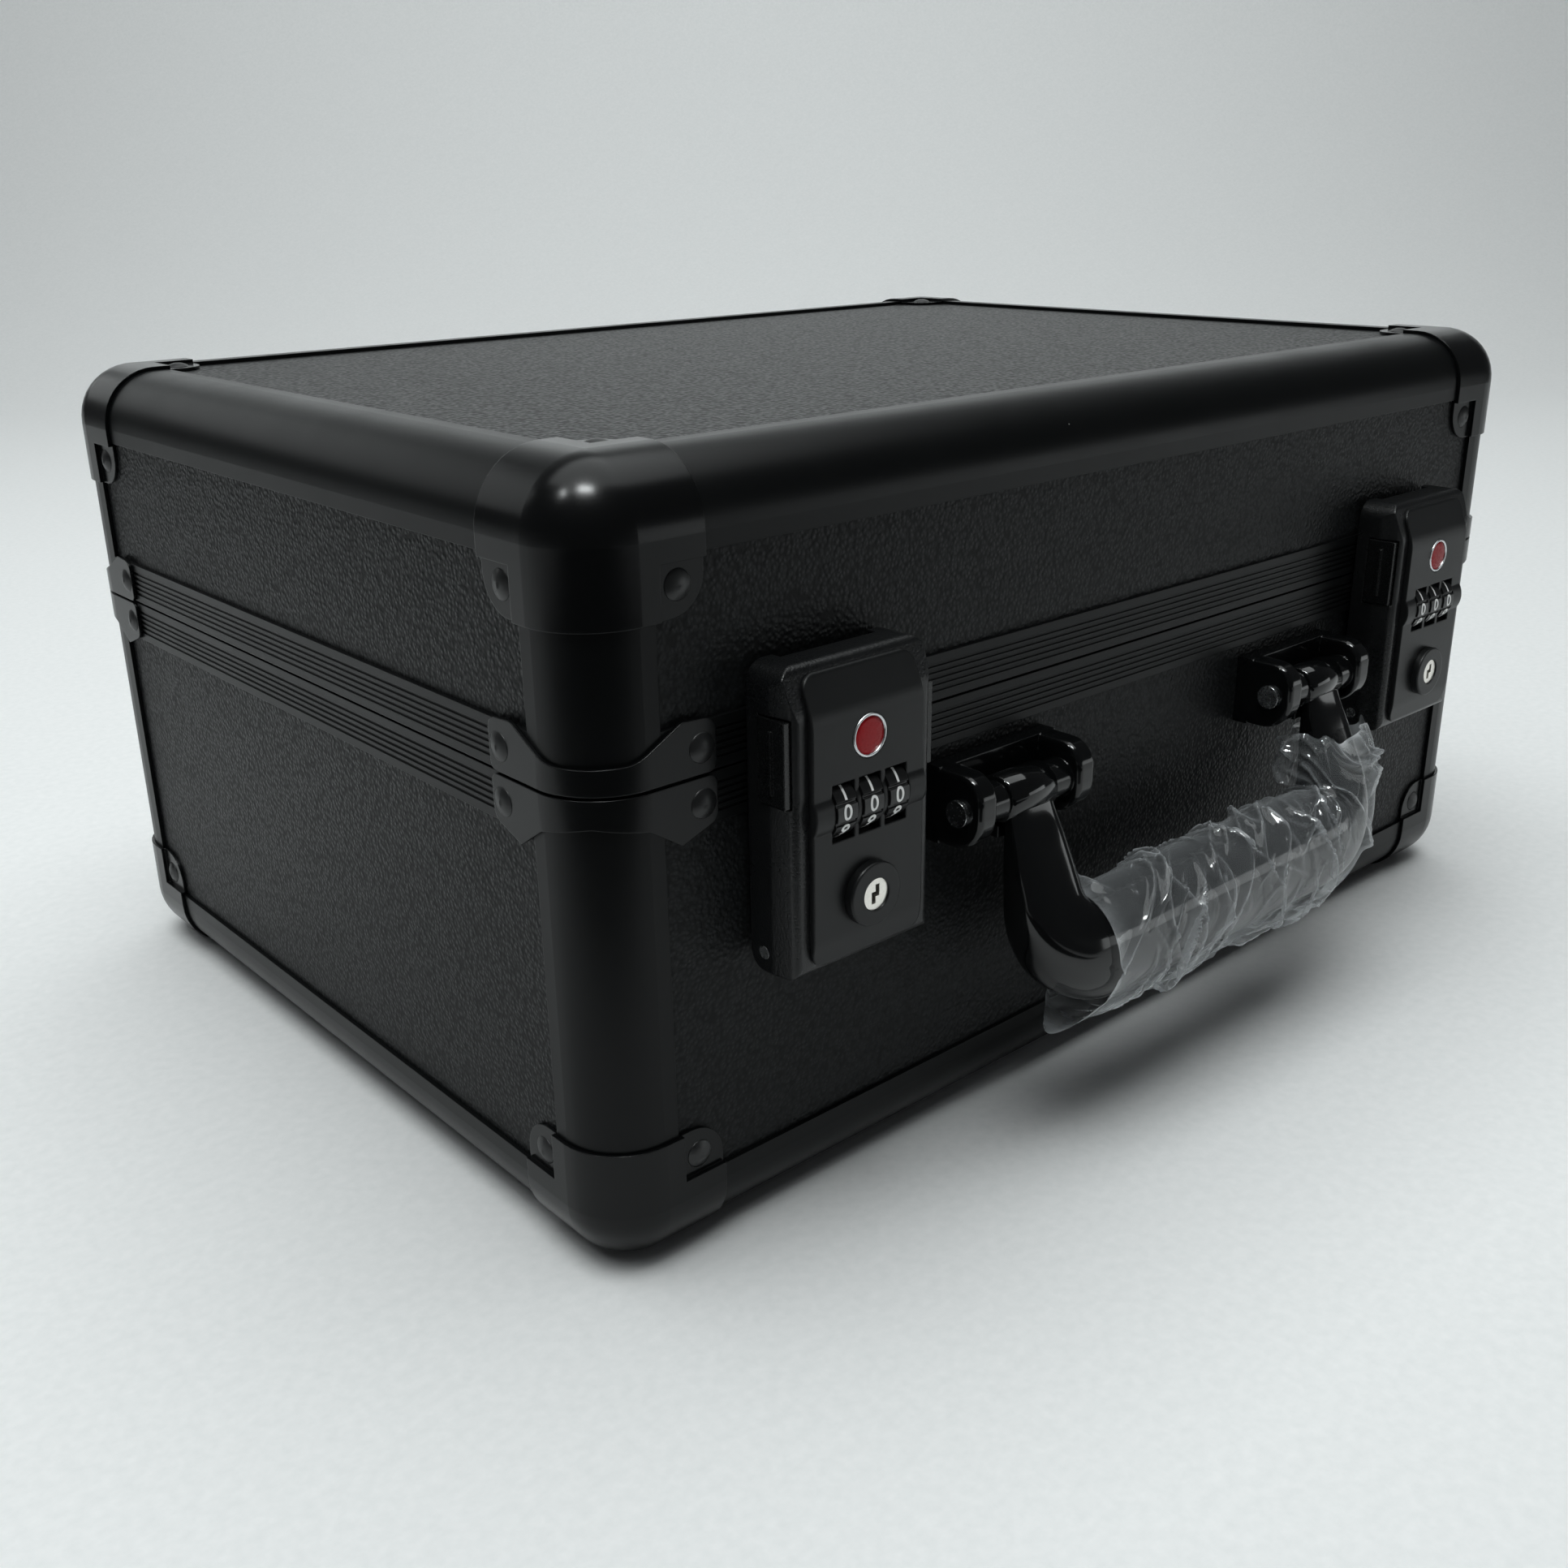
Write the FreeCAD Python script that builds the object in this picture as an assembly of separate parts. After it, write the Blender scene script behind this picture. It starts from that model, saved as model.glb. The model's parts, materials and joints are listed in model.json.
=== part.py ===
import FreeCAD, Part
import math
import os

Vector = FreeCAD.Vector

# Case shell
CASE_W = 380.0
CASE_D = 274.0
CASE_H = 188.0
BASE_H = 119.6

# Edge profiles, panels and lining
PROFILE_LEG = 20.0
PROFILE_R = 16.0
PROFILE_WALL = 1.2
PANEL_T = 4.0
LINING_T = 2.5
LINING_R = 9.0

# Corner caps
CAP_WALL = 1.0
CAP_REACH = 33.0
CAP_EAR_R = 9.0
CAP_RIVET_INSET = 26.0

# Meeting rims of base and lid
RIM_H = 12.0
RIM_GAP = 0.6
RIM_WALL = 1.2
RIM_WEB = 1.0
GROOVE_DEPTH = 3.2
TONGUE_T = 2.0
TONGUE_DROP = 2.2
RIB_COUNT = 5
RIB_PITCH = 1.6
RIB_W = 0.8
RIB_DEPTH = 0.4

# Corner brackets on the rims
BRACKET_WALL = 1.0
BRACKET_REACH = 34.0
BRACKET_RIVET_INSET = 30.0
BRACKET_LIFT = 0.4
UPPER_EAR_H = 13.2
UPPER_DIP_H = 6.2
LOWER_EAR_H = 11.0
LOWER_TIP_H = 14.6
LOWER_ARCH_H = 6.0
UPPER_EAR_IN = 25.0
UPPER_DIP_IN = 13.0
UPPER_EAR_FALL = 0.6
LOWER_TIP_IN = 24.0
LOWER_ARCH_IN = 15.5
LOWER_ARCH_FALL = 3.0
BRACKET_EAR_R = 3.0
BRACKET_CORNER_R = 2.0
BRACKET_DIP_R = 12.0
BRACKET_TIP_R = 0.8

# Rivets
RIVET_R = 1.6
RIVET_CLEAR = 0.05
RIVET_HEAD_R = 3.5
RIVET_HEAD_H = 1.1
RIM_RIVET_H = 6.4

# Rear hinges
HINGE_X = 105.0
HINGE_OFFSET = 3.8
HINGE_W = 44.0
HINGE_KNUCKLE_R = 3.0
HINGE_PIN_R = 1.5
HINGE_LEAF_T = 1.5
HINGE_LEAF_H = 11.4
HINGE_RIVET_X = 15.0
HINGE_SIDE_GAP = 0.4
HINGE_END_GAP = 0.1

# Running clearance of every pin and axle
RUN_CLEAR = 0.05

# Carrying handle, with heights from the split
HANDLE_INSET = 123.0
HANDLE_PIVOT_OUT = 10.5
HANDLE_PIVOT_Z = -25.6
HANDLE_TILT = 10.0
HANDLE_PIN_R = 2.2
HUB_R = 6.3
HUB_W = 17.0
ARM_T = 6.0
ARM_CORNER_R = 22.0
ARM_EDGE_R = 1.8
ARM_WINDOW_R = 8.0
ARM_BAND_HALF_H = 12.0
GRIP_DROP = 44.5
GRIP_FORWARD = 6.6
GRIP_HALF_H = 15.0
GRIP_HALF_T = 12.0
GRIP_INSET = 20.0
GRIP_TAPER = 20.0
GRIP_END_HALF_H = 11.2
BRACKET_NOSE_OUT = 17.5
BRACKET_TOP_UP = 10.0
BRACKET_BOTTOM_DOWN = 10.0
BRACKET_NOSE_TOP_R = 7.0
BRACKET_NOSE_BOTTOM_R = 9.5
KNUCKLE_GAP = 30.8
KNUCKLE_W = 6.4
BOSS_R = 5.2
HANDLE_SIDE_GAP = 0.3
BRACKET_WEB_OUT = 3.6
STOP_CLEAR = 0.4
PIN_HEAD_R = 3.4
PIN_HEAD_H = 1.2
KNUCKLE_EDGE_R = 1.4

# Clear film sleeve left on the grip
FILM_GAP = 0.6
FILM_T = 0.8
FILM_INSET = 7.0

# Combination locks, with heights from the split
LOCK_INSET = 64.8
LOCK_BOTTOM_DROP = 4.6
LOCK_TOP_Z = 22.9
LOCK_W = 44.4
LOCK_FRONT = 15.0
LOCK_BACK = 0.8
LOCK_SIDE_OUT = 8.0
LOCK_SIDE_DRAFT = 1.4
LOCK_SLOPE_Z = 12.4
LOCK_TOP_OUT = 11.0
LOCK_SIDE_WALL = 3.8
LOCK_FRONT_WALL = 2.2
LOCK_END_WALL = 2.0
LOCK_FOOT_R = 4.3
LOCK_SHOULDER_R = 4.0
LOCK_FRONT_EDGE_R = 2.0
LOCK_BOTTOM_EDGE_R = 3.0
LOCK_SLOPE_R = 10.0
LOCK_TOP_EDGE_R = 2.5
LOCK_CROWN_R = 5.0
PIVOT_OUT = 5.2
PIVOT_Z = -45.0
PIVOT_R = 1.6
PLATE_W = 34.0
PLATE_FRONT = 16.6
PLATE_CORNER_R = 4.0
PLATE_END_INSET = 2.0
PLATE_FOOT_OUT = 15.64
PLATE_FOOT_RISE = 6.0
PLATE_BEND_R = 12.0
PLATE_END_R = 1.0
BADGE_Z = 4.8
BADGE_R = 5.2
BADGE_DEPTH = 0.5

# Number dials
DIAL_Z = -11.1
DIAL_OUT = 10.6
DIAL_R = 7.6
DIAL_W = 6.0
DIAL_PITCH = 8.1
DIAL_DIGITS = 10
DIAL_NOTCH_R = 0.55
DIAL_CLEAR = 0.4
DIAL_AXLE_R = 1.25
HUMP_R = 7.2
WINDOW_HALF_H = 6.8
AXLE_SEAT = 1.5

# Side release buttons
BUTTON_Z0 = -8.0
BUTTON_Z1 = 11.8
BUTTON_OUT0 = 5.0
BUTTON_OUT1 = 13.6
BUTTON_PROUD = 0.5
BUTTON_T = 2.6
BUTTON_RIDGE = 0.6
BUTTON_CLEAR = 0.35
ARM_Z0 = 3.8
ARM_Z1 = 8.0
ARM_OUT1 = 6.4
ARM_INNER_X = 4.8
NECK_W = 2.6
NOSE_X = 9.2
NOSE_OUT0 = 0.4
NOSE_OUT1 = 1.6

# Strike on the lid rim
STRIKE_HALF_W = 14.0
STRIKE_Z0 = 2.4
STRIKE_Z1 = 11.6
STRIKE_OUT = 3.0
STRIKE_SLOT_X = 9.5
STRIKE_SLOT_TOP = 9.6
STRIKE_POCKET_X = 12.4
STRIKE_POCKET_Z0 = 3.3
STRIKE_POCKET_Z1 = 8.5
STRIKE_POCKET_OUT = 1.9
STRIKE_PASS_CLEAR = 0.5

# Key cylinder and the bar it lifts
KEY_Z = -32.9
KEY_RING_R = 7.8
KEY_RING_PROUD = 2.4
KEY_RING_EDGE_R = 0.5
KEY_PLUG_R = 3.9
KEY_PLUG_RECESS = 0.4
KEY_SHAFT_R = 2.0
KEY_PLUG_BACK = 11.0
KEYWAY_W = 1.2
KEYWAY_H = 4.6
KEYWAY_DEPTH = 5.0
CAM_LENGTH = 4.6
CAM_HALF_W = 1.2
BAR_OUT0 = 1.0
BAR_OUT1 = 2.5
BAR_HALF_W = 7.4
BAR_WINDOW_X = 5.4
BAR_WINDOW_UP = 2.6
BAR_WINDOW_DOWN = 5.9
BAR_EDGE = 1.5
BAR_LIFT = 3.5
STEM_HALF_W = 4.3
STEM_TOP = 1.9
GUIDE_W = 1.2
GUIDE_H = 4.6
GUIDE_CLEAR = 0.3

# Fixed plate that carries each lock
LOCK_PLATE_T = 1.2
LOCK_PLATE_HALF_W = 17.2
LOCK_EAR_T = 2.0
LOCK_EAR_R = 2.8
LOCK_EAR_ROUND = 2.7
LOCK_EAR_RISE = 12.0
LOCK_PLATE_GAP = 0.4
LOCK_FIXING_Z = -21.6
LOCK_FIXING_X = 11.0

# Reach of the film and of the hinge knuckles beyond the case, which sets the middle of the part
TILT = math.radians(HANDLE_TILT)
GRIP_OUT = HANDLE_PIVOT_OUT + GRIP_DROP * math.sin(TILT) + GRIP_FORWARD * math.cos(TILT)
FILM_HALF_H = GRIP_HALF_H + FILM_GAP + FILM_T
FILM_HALF_T = GRIP_HALF_T + FILM_GAP + FILM_T
FRONT_REACH = GRIP_OUT + math.hypot(FILM_HALF_T * math.cos(TILT), FILM_HALF_H * math.sin(TILT))
REAR_REACH = HINGE_OFFSET + HINGE_KNUCKLE_R
CASE_SHIFT = (FRONT_REACH - REAR_REACH) / 2

# Outer planes of the case, with the bottom caps standing on zero
LEFT = -CASE_W / 2
LOCK_X = CASE_W / 2 - LOCK_INSET
HANDLE_X = CASE_W / 2 - HANDLE_INSET
GRIP_STRAIGHT = HANDLE_X - GRIP_INSET
FILM_HALF_L = GRIP_STRAIGHT - FILM_INSET
FRONT = CASE_SHIFT - CASE_D / 2
REAR = CASE_SHIFT + CASE_D / 2
BOTTOM = CAP_WALL
TOP = BOTTOM + CASE_H
MIDDLE_Z = (BOTTOM + TOP) / 2
SPLIT = BOTTOM + BASE_H
PANEL_FACE = PROFILE_WALL
PANEL_BACK = PROFILE_WALL + PANEL_T
PANEL_OUT = -PANEL_FACE
RIM_BACK = PANEL_BACK + RIM_WALL
BASE_PANEL_TOP = SPLIT - GROOVE_DEPTH - RIM_WEB
LID_PANEL_BOTTOM = SPLIT + RIM_GAP / 2 + RIM_WEB

SIDES = (-1, 1)
X_AXIS = Vector(1, 0, 0)
Y_AXIS = Vector(0, 1, 0)
Z_AXIS = Vector(0, 0, 1)
CENTRE = Vector(0, CASE_SHIFT, MIDDLE_Z)


def up(height):
    """Height above the split between base and lid, as a Z in the part's frame."""
    return SPLIT + height


def ahead(out):
    """Distance in front of the case's front plane, as a Y in the part's frame."""
    return FRONT - out


def outline(points, place):
    """Closed wire through (u, v) or (u, v, corner radius) points, set in space by place(u, v)."""
    corners = []
    for i, point in enumerate(points):
        here = Vector(point[0], point[1], 0)
        radius = point[2] if len(point) > 2 else 0.0
        if radius == 0.0:
            corners.append((here, None, here))
            continue
        following = points[(i + 1) % len(points)]
        back = (Vector(points[i - 1][0], points[i - 1][1], 0) - here).normalize()
        forth = (Vector(following[0], following[1], 0) - here).normalize()
        half = back.getAngle(forth) / 2
        reach = radius / math.tan(half)
        inward = (back + forth).normalize()
        middle = here + inward * (radius / math.sin(half) - radius)
        corners.append((here + back * reach, middle, here + forth * reach))
    edges = []
    for i, (start, middle, end) in enumerate(corners):
        if middle is not None:
            arc = Part.Arc(place(start.x, start.y), place(middle.x, middle.y), place(end.x, end.y))
            edges.append(arc.toShape())
        following = corners[(i + 1) % len(corners)][0]
        if end.distanceToPoint(following) > 1e-6:
            line = Part.LineSegment(place(end.x, end.y), place(following.x, following.y))
            edges.append(line.toShape())
    return Part.Wire(edges)


def prism_x(points, x0, x1):
    """Outline of (y, z) points drawn out along X."""
    wire = outline(points, lambda u, v: Vector(x0, u, v))
    return Part.Face(wire).extrude(Vector(x1 - x0, 0, 0))


def prism_y(points, y0, y1):
    """Outline of (x, z) points drawn out along Y."""
    wire = outline(points, lambda u, v: Vector(u, y0, v))
    return Part.Face(wire).extrude(Vector(0, y1 - y0, 0))


def prism_z(points, z0, z1):
    """Outline of (x, y) points drawn out along Z."""
    wire = outline(points, lambda u, v: Vector(u, v, z0))
    return Part.Face(wire).extrude(Vector(0, 0, z1 - z0))


def side_prism(points, x0, x1):
    """Outline of (out, z) points in front of the case drawn out along X."""
    return prism_x([(ahead(p[0]),) + tuple(p[1:]) for p in points], x0, x1)


def block(x0, x1, y0, y1, z0, z1):
    """Box between two corners, given in any order along Y."""
    low = min(y0, y1)
    return Part.makeBox(x1 - x0, abs(y1 - y0), z1 - z0, Vector(x0, low, z0))


def rod_x(radius, x0, x1, y, z):
    """Cylinder along X."""
    return Part.makeCylinder(radius, x1 - x0, Vector(x0, y, z), X_AXIS)


def rod_out(radius, x, z, out0, out1):
    """Cylinder pointing out of the front, from out0 to out1."""
    return Part.makeCylinder(radius, out1 - out0, Vector(x, ahead(out0), z), Vector(0, -1, 0))


def joined(shapes):
    """One solid made of the given shapes, with the seams between them removed."""
    whole = shapes[0]
    for shape in shapes[1:]:
        whole = whole.fuse(shape)
    return whole.removeSplitter()


def moved(shape, x):
    """Copy of a shape set off along X."""
    copy = shape.copy()
    copy.translate(Vector(x, 0, 0))
    return copy


def mirrored(shape, axis):
    """The shape on the opposite side of the case along an axis."""
    return shape.mirror(CENTRE, axis)


def four_corners(shape):
    """The shape at the front-left corner repeated at all four upright corners."""
    pair = [shape, mirrored(shape, X_AXIS)]
    return pair + [mirrored(one, Y_AXIS) for one in pair]


def softened(shape, radius, axis, back_y=None):
    """Prism with rounded edges round its two ends along an axis, apart from edges in the plane at back_y."""
    edges = []
    for edge in shape.Edges:
        box = edge.BoundBox
        along = abs(Vector(box.XLength, box.YLength, box.ZLength).dot(axis))
        seated = back_y is not None and abs(box.YMin - back_y) < 1e-6 and box.YLength < 1e-6
        if along < 1e-6 and not seated:
            edges.append(edge)
    return shape.makeFillet(radius, edges)


def save(name, shapes):
    """Write one node, made of one solid or of several separate ones."""
    solids = []
    for shape in shapes:
        solids.extend(shape.Solids)
    for solid in solids:
        if not solid.isValid() or solid.Volume <= 0:
            raise ValueError(name + " holds a solid that is not sound")
    whole = solids[0] if len(solids) == 1 else Part.makeCompound(solids)
    whole.exportStep("parts/" + name + ".step")


# Rivets: each spot is the point under the head, the way the head faces and the thickness it holds

def cap_spots(level):
    """Three rivets at each of the four corners of the base (level -1) or lid (level 1)."""
    spots = []
    depth = PROFILE_WALL - CAP_WALL
    grip = CAP_WALL + PANEL_T
    for sx in SIDES:
        for sy in SIDES:
            corner = CENTRE + Vector(sx * CASE_W / 2, sy * CASE_D / 2, level * CASE_H / 2)
            for axis in range(3):
                inset = [CAP_RIVET_INSET] * 3
                inset[axis] = depth
                facing = [0, 0, 0]
                facing[axis] = (sx, sy, level)[axis]
                shift = Vector(sx * inset[0], sy * inset[1], level * inset[2])
                spots.append((corner - shift, Vector(*facing), grip))
    return spots


def bracket_spots(level):
    """Two rivets in each corner bracket of the base rim (level -1) or lid rim (level 1)."""
    spots = []
    grip = BRACKET_WALL + RIM_BACK
    z = SPLIT + level * RIM_RIVET_H
    across = CASE_W / 2 - BRACKET_RIVET_INSET
    along = CASE_D / 2 - BRACKET_RIVET_INSET
    for sx in SIDES:
        for sy in SIDES:
            on_side = Vector(sx * (CASE_W / 2 + BRACKET_WALL), CASE_SHIFT + sy * along, z)
            on_face = Vector(sx * across, CASE_SHIFT + sy * (CASE_D / 2 + BRACKET_WALL), z)
            spots.append((on_side, Vector(sx, 0, 0), grip))
            spots.append((on_face, Vector(0, sy, 0), grip))
    return spots


def hinge_spots(level):
    """Two rivets in each hinge leaf."""
    z = SPLIT + level * RIM_RIVET_H
    grip = HINGE_LEAF_T + RIM_BACK
    return [
        (Vector(sx * HINGE_X + side * HINGE_RIVET_X, REAR + HINGE_LEAF_T, z), Y_AXIS, grip)
        for sx in SIDES
        for side in SIDES
    ]


def plate_spots():
    """Flush fixings that hold the lock plates and the handle brackets to the front panel."""
    spots = []
    for sx in SIDES:
        for side in SIDES:
            x = sx * LOCK_X + side * LOCK_FIXING_X
            face = Vector(x, ahead(PANEL_OUT + LOCK_PLATE_T), up(LOCK_FIXING_Z))
            spots.append((face, -Y_AXIS, LOCK_PLATE_T + PANEL_T))
            x = sx * HANDLE_X + side * (HUB_W / 2)
            face = Vector(x, ahead(BRACKET_WEB_OUT), up(HANDLE_PIVOT_Z))
            spots.append((face, -Y_AXIS, BRACKET_WEB_OUT + PANEL_BACK))
    return spots


def aligned(shape, point, facing):
    """Copy of a shape drawn about +Z, set at a point and turned to face a direction."""
    copy = shape.copy()
    copy.Placement = FreeCAD.Placement(point, FreeCAD.Rotation(Z_AXIS, facing))
    return copy


def rivet(grip, headed):
    """Rivet about +Z with its head standing on zero and its shank below."""
    shank = Part.makeCylinder(RIVET_R, grip, Vector(0, 0, -grip))
    if not headed:
        return shank
    ball_r = (RIVET_HEAD_R ** 2 + RIVET_HEAD_H ** 2) / (2 * RIVET_HEAD_H)
    ball = Part.makeSphere(ball_r, Vector(0, 0, RIVET_HEAD_H - ball_r))
    head = ball.common(Part.makeCylinder(RIVET_HEAD_R, RIVET_HEAD_H))
    return joined([head, shank])


def rivets(spots, headed):
    """A rivet at each spot."""
    return [aligned(rivet(grip, headed), point, facing) for point, facing, grip in spots]


def rivet_holes(spots):
    """Cutters for the holes the rivets pass through."""
    cutters = []
    for point, facing, grip in spots:
        length = grip + 2 * RIVET_HEAD_H
        hole = Part.makeCylinder(RIVET_R + RIVET_CLEAR, length, Vector(0, 0, RIVET_HEAD_H - length))
        cutters.append(aligned(hole, point, facing))
    return Part.makeCompound(cutters)


BASE_SPOTS = cap_spots(-1) + bracket_spots(-1) + hinge_spots(-1)
LID_SPOTS = cap_spots(1) + bracket_spots(1) + hinge_spots(1)
FLUSH_SPOTS = plate_spots()
BASE_HOLES = rivet_holes(BASE_SPOTS + FLUSH_SPOTS)
LID_HOLES = rivet_holes(LID_SPOTS)


# Panels, profiles, rims, caps and brackets of the case

def save_panels(prefix, wall_z0, wall_z1, flat_name, flat_z, holes):
    """Four wall panels and the floor or top panel of one half of the case."""
    x = CASE_W / 2 - PROFILE_R
    y0 = FRONT + PROFILE_R
    y1 = REAR - PROFILE_R
    front = block(-x, x, FRONT + PANEL_FACE, FRONT + PANEL_BACK, wall_z0, wall_z1)
    left = block(LEFT + PANEL_FACE, LEFT + PANEL_BACK, y0, y1, wall_z0, wall_z1)
    flat = block(-x, x, y0, y1, flat_z, flat_z + PANEL_T)
    save(prefix + "_front_panel", [front.cut(holes)])
    save(prefix + "_rear_panel", [mirrored(front, Y_AXIS).cut(holes)])
    save(prefix + "_left_panel", [left.cut(holes)])
    save(prefix + "_right_panel", [mirrored(left, X_AXIS).cut(holes)])
    save(flat_name, [flat.cut(holes)])


def profile_section():
    """Rounded angle section of the edge profiles, as (along one leg, along the other) points."""
    inner_r = PROFILE_R - PROFILE_WALL
    return [
        (0, PROFILE_LEG),
        (0, 0, PROFILE_R),
        (PROFILE_LEG, 0),
        (PROFILE_LEG, PROFILE_WALL),
        (PROFILE_WALL, PROFILE_WALL, inner_r),
        (PROFILE_WALL, PROFILE_LEG),
    ]


def bottom_profiles():
    """The four straight profiles round the underside, each ending inside the corner caps."""
    section = profile_section()
    x = CASE_W / 2 - PROFILE_LEG
    front = prism_x([(FRONT + p[0], BOTTOM + p[1]) + p[2:] for p in section], -x, x)
    left = prism_y(
        [(LEFT + p[0], BOTTOM + p[1]) + p[2:] for p in section], FRONT + PROFILE_LEG, REAR - PROFILE_LEG
    )
    return [front, mirrored(front, Y_AXIS), left, mirrored(left, X_AXIS)]


def posts(z0, z1):
    """The four upright corner profiles."""
    section = [(LEFT + p[0], FRONT + p[1]) + p[2:] for p in profile_section()]
    return four_corners(prism_z(section, z0, z1))


def ribs(level):
    """Points of the grooves along the outer face of a rim, going away from the split."""
    points = []
    middle = (RIM_GAP / 2 + RIM_H) / 2
    for i in range(RIB_COUNT):
        height = middle + (i - (RIB_COUNT - 1) / 2) * RIB_PITCH
        low = level * (height - RIB_W / 2)
        high = level * (height + RIB_W / 2)
        points += [(0, low), (RIB_DEPTH, low), (RIB_DEPTH, high), (0, high)]
    return points


def base_rim_section():
    """Section of the lower rim as (depth, height from the split), with a groove on top."""
    lip = -RIM_GAP / 2
    web = -GROOVE_DEPTH
    return [(0, lip)] + ribs(-1) + [
        (0, -RIM_H),
        (PANEL_FACE, -RIM_H),
        (PANEL_FACE, web - RIM_WEB),
        (PANEL_BACK, web - RIM_WEB),
        (PANEL_BACK, -RIM_H),
        (RIM_BACK, -RIM_H),
        (RIM_BACK, lip),
        (PANEL_BACK, lip),
        (PANEL_BACK, web),
        (PANEL_FACE, web),
        (PANEL_FACE, lip),
    ]


def lid_rim_section():
    """Section of the upper rim as (depth, height from the split), with a tongue below."""
    lip = RIM_GAP / 2
    middle = (PANEL_FACE + PANEL_BACK) / 2
    return [(0, lip)] + ribs(1) + [
        (0, RIM_H),
        (PANEL_FACE, RIM_H),
        (PANEL_FACE, lip + RIM_WEB),
        (PANEL_BACK, lip + RIM_WEB),
        (PANEL_BACK, RIM_H),
        (RIM_BACK, RIM_H),
        (RIM_BACK, lip),
        (middle + TONGUE_T / 2, lip),
        (middle + TONGUE_T / 2, -TONGUE_DROP),
        (middle - TONGUE_T / 2, -TONGUE_DROP),
        (middle - TONGUE_T / 2, lip),
    ]


def rim(section, holes):
    """Four straight lengths of rim between the corner posts."""
    x = CASE_W / 2 - PROFILE_LEG
    front = prism_x([(FRONT + d, SPLIT + h) for d, h in section], -x, x)
    left = prism_y([(LEFT + d, SPLIT + h) for d, h in section], FRONT + PROFILE_LEG, REAR - PROFILE_LEG)
    lengths = [front, mirrored(front, Y_AXIS), left, mirrored(left, X_AXIS)]
    return [length.cut(holes) for length in lengths]


def corner_form(grow):
    """Rounded case corner at the origin with its panels set back, all grown outwards."""
    size = 2 * CAP_REACH
    start = Vector(-grow, -grow, -grow)
    form = Part.makeBox(size, size, size, start)
    edges = [e for e in form.Edges if any(v.Point.isEqual(start, 1e-6) for v in e.Vertexes)]
    form = form.makeFillet(PROFILE_R + grow, edges)
    step = PROFILE_LEG + grow
    for axis in range(3):
        spans = [size, size, size]
        corner = [step, step, step]
        spans[axis] = PROFILE_WALL
        corner[axis] = -grow
        form = form.cut(Part.makeBox(spans[0], spans[1], spans[2], Vector(*corner)))
    return form


def corner_cap():
    """Pressed cap over the front-left bottom corner, with an ear on each face."""
    span = CAP_REACH + CAP_WALL
    start = Vector(-CAP_WALL, -CAP_WALL, -CAP_WALL)
    far = Vector(CAP_REACH, CAP_REACH, CAP_REACH)
    window = Part.makeBox(span, span, span, start)
    edges = [e for e in window.Edges if any(v.Point.isEqual(far, 1e-6) for v in e.Vertexes)]
    window = window.makeFillet(CAP_EAR_R, edges)
    cap = corner_form(CAP_WALL).cut(corner_form(0)).common(window)
    cap.translate(Vector(LEFT, FRONT, BOTTOM))
    return cap.cut(BASE_HOLES)


def rim_bracket(points, holes):
    """Angle bracket wrapped round the front-left corner, with an outline of (along, height) points."""
    reach = BRACKET_REACH + BRACKET_WALL
    low = min(p[1] for p in points)
    high = max(p[1] for p in points)
    inner = prism_z([(0, 0, PROFILE_R), (reach, 0), (reach, reach), (0, reach)], low, high)
    outer_r = PROFILE_R + BRACKET_WALL
    w = -BRACKET_WALL
    outer = prism_z([(w, w, outer_r), (reach, w), (reach, reach), (w, reach)], low, high)
    wedge = prism_z([(w, w), (reach, w), (reach, reach)], low, high)
    half = outer.cut(inner).common(wedge).common(prism_y(points, w, reach))
    other = half.mirror(Vector(0, 0, 0), Vector(1, -1, 0))
    whole = joined([half, other])
    whole.translate(Vector(LEFT, FRONT, SPLIT))
    return whole.cut(holes)


def upper_bracket():
    """Bracket of the lid rim, dipping round the corner post."""
    return rim_bracket(
        [
            (-BRACKET_WALL, BRACKET_LIFT),
            (BRACKET_REACH, BRACKET_LIFT, BRACKET_CORNER_R),
            (BRACKET_REACH, UPPER_EAR_H - UPPER_EAR_FALL, BRACKET_EAR_R),
            (UPPER_EAR_IN, UPPER_EAR_H, BRACKET_CORNER_R),
            (UPPER_DIP_IN, UPPER_DIP_H + BRACKET_LIFT, BRACKET_DIP_R),
            (-BRACKET_WALL, UPPER_DIP_H),
        ],
        LID_HOLES,
    )


def lower_bracket():
    """Bracket of the base rim, with a pointed tip under each ear."""
    return rim_bracket(
        [
            (-BRACKET_WALL, -BRACKET_LIFT),
            (BRACKET_REACH, -BRACKET_LIFT, BRACKET_CORNER_R),
            (BRACKET_REACH, -LOWER_EAR_H, BRACKET_EAR_R),
            (LOWER_TIP_IN, -LOWER_TIP_H, BRACKET_TIP_R),
            (LOWER_ARCH_IN, -LOWER_ARCH_H - LOWER_ARCH_FALL, BRACKET_EAR_R),
            (-BRACKET_WALL, -LOWER_ARCH_H),
        ],
        BASE_HOLES,
    )


def lining(z0, z1):
    """Soft tray inside the base, open at the top, from its underside to its upper edge."""
    x = CASE_W / 2 - PANEL_BACK
    y0 = FRONT + PANEL_BACK
    y1 = REAR - PANEL_BACK

    def tray(inset, radius, top):
        form = block(-x + inset, x - inset, y0 + inset, y1 - inset, z0 + inset, top)
        edges = [e for e in form.Edges if e.BoundBox.ZMin < top - 1e-6]
        return form.makeFillet(radius, edges)

    return tray(0.0, LINING_R, z1).cut(tray(LINING_T, LINING_R - LINING_T, z1 + LINING_T))


# Rear hinges

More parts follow.
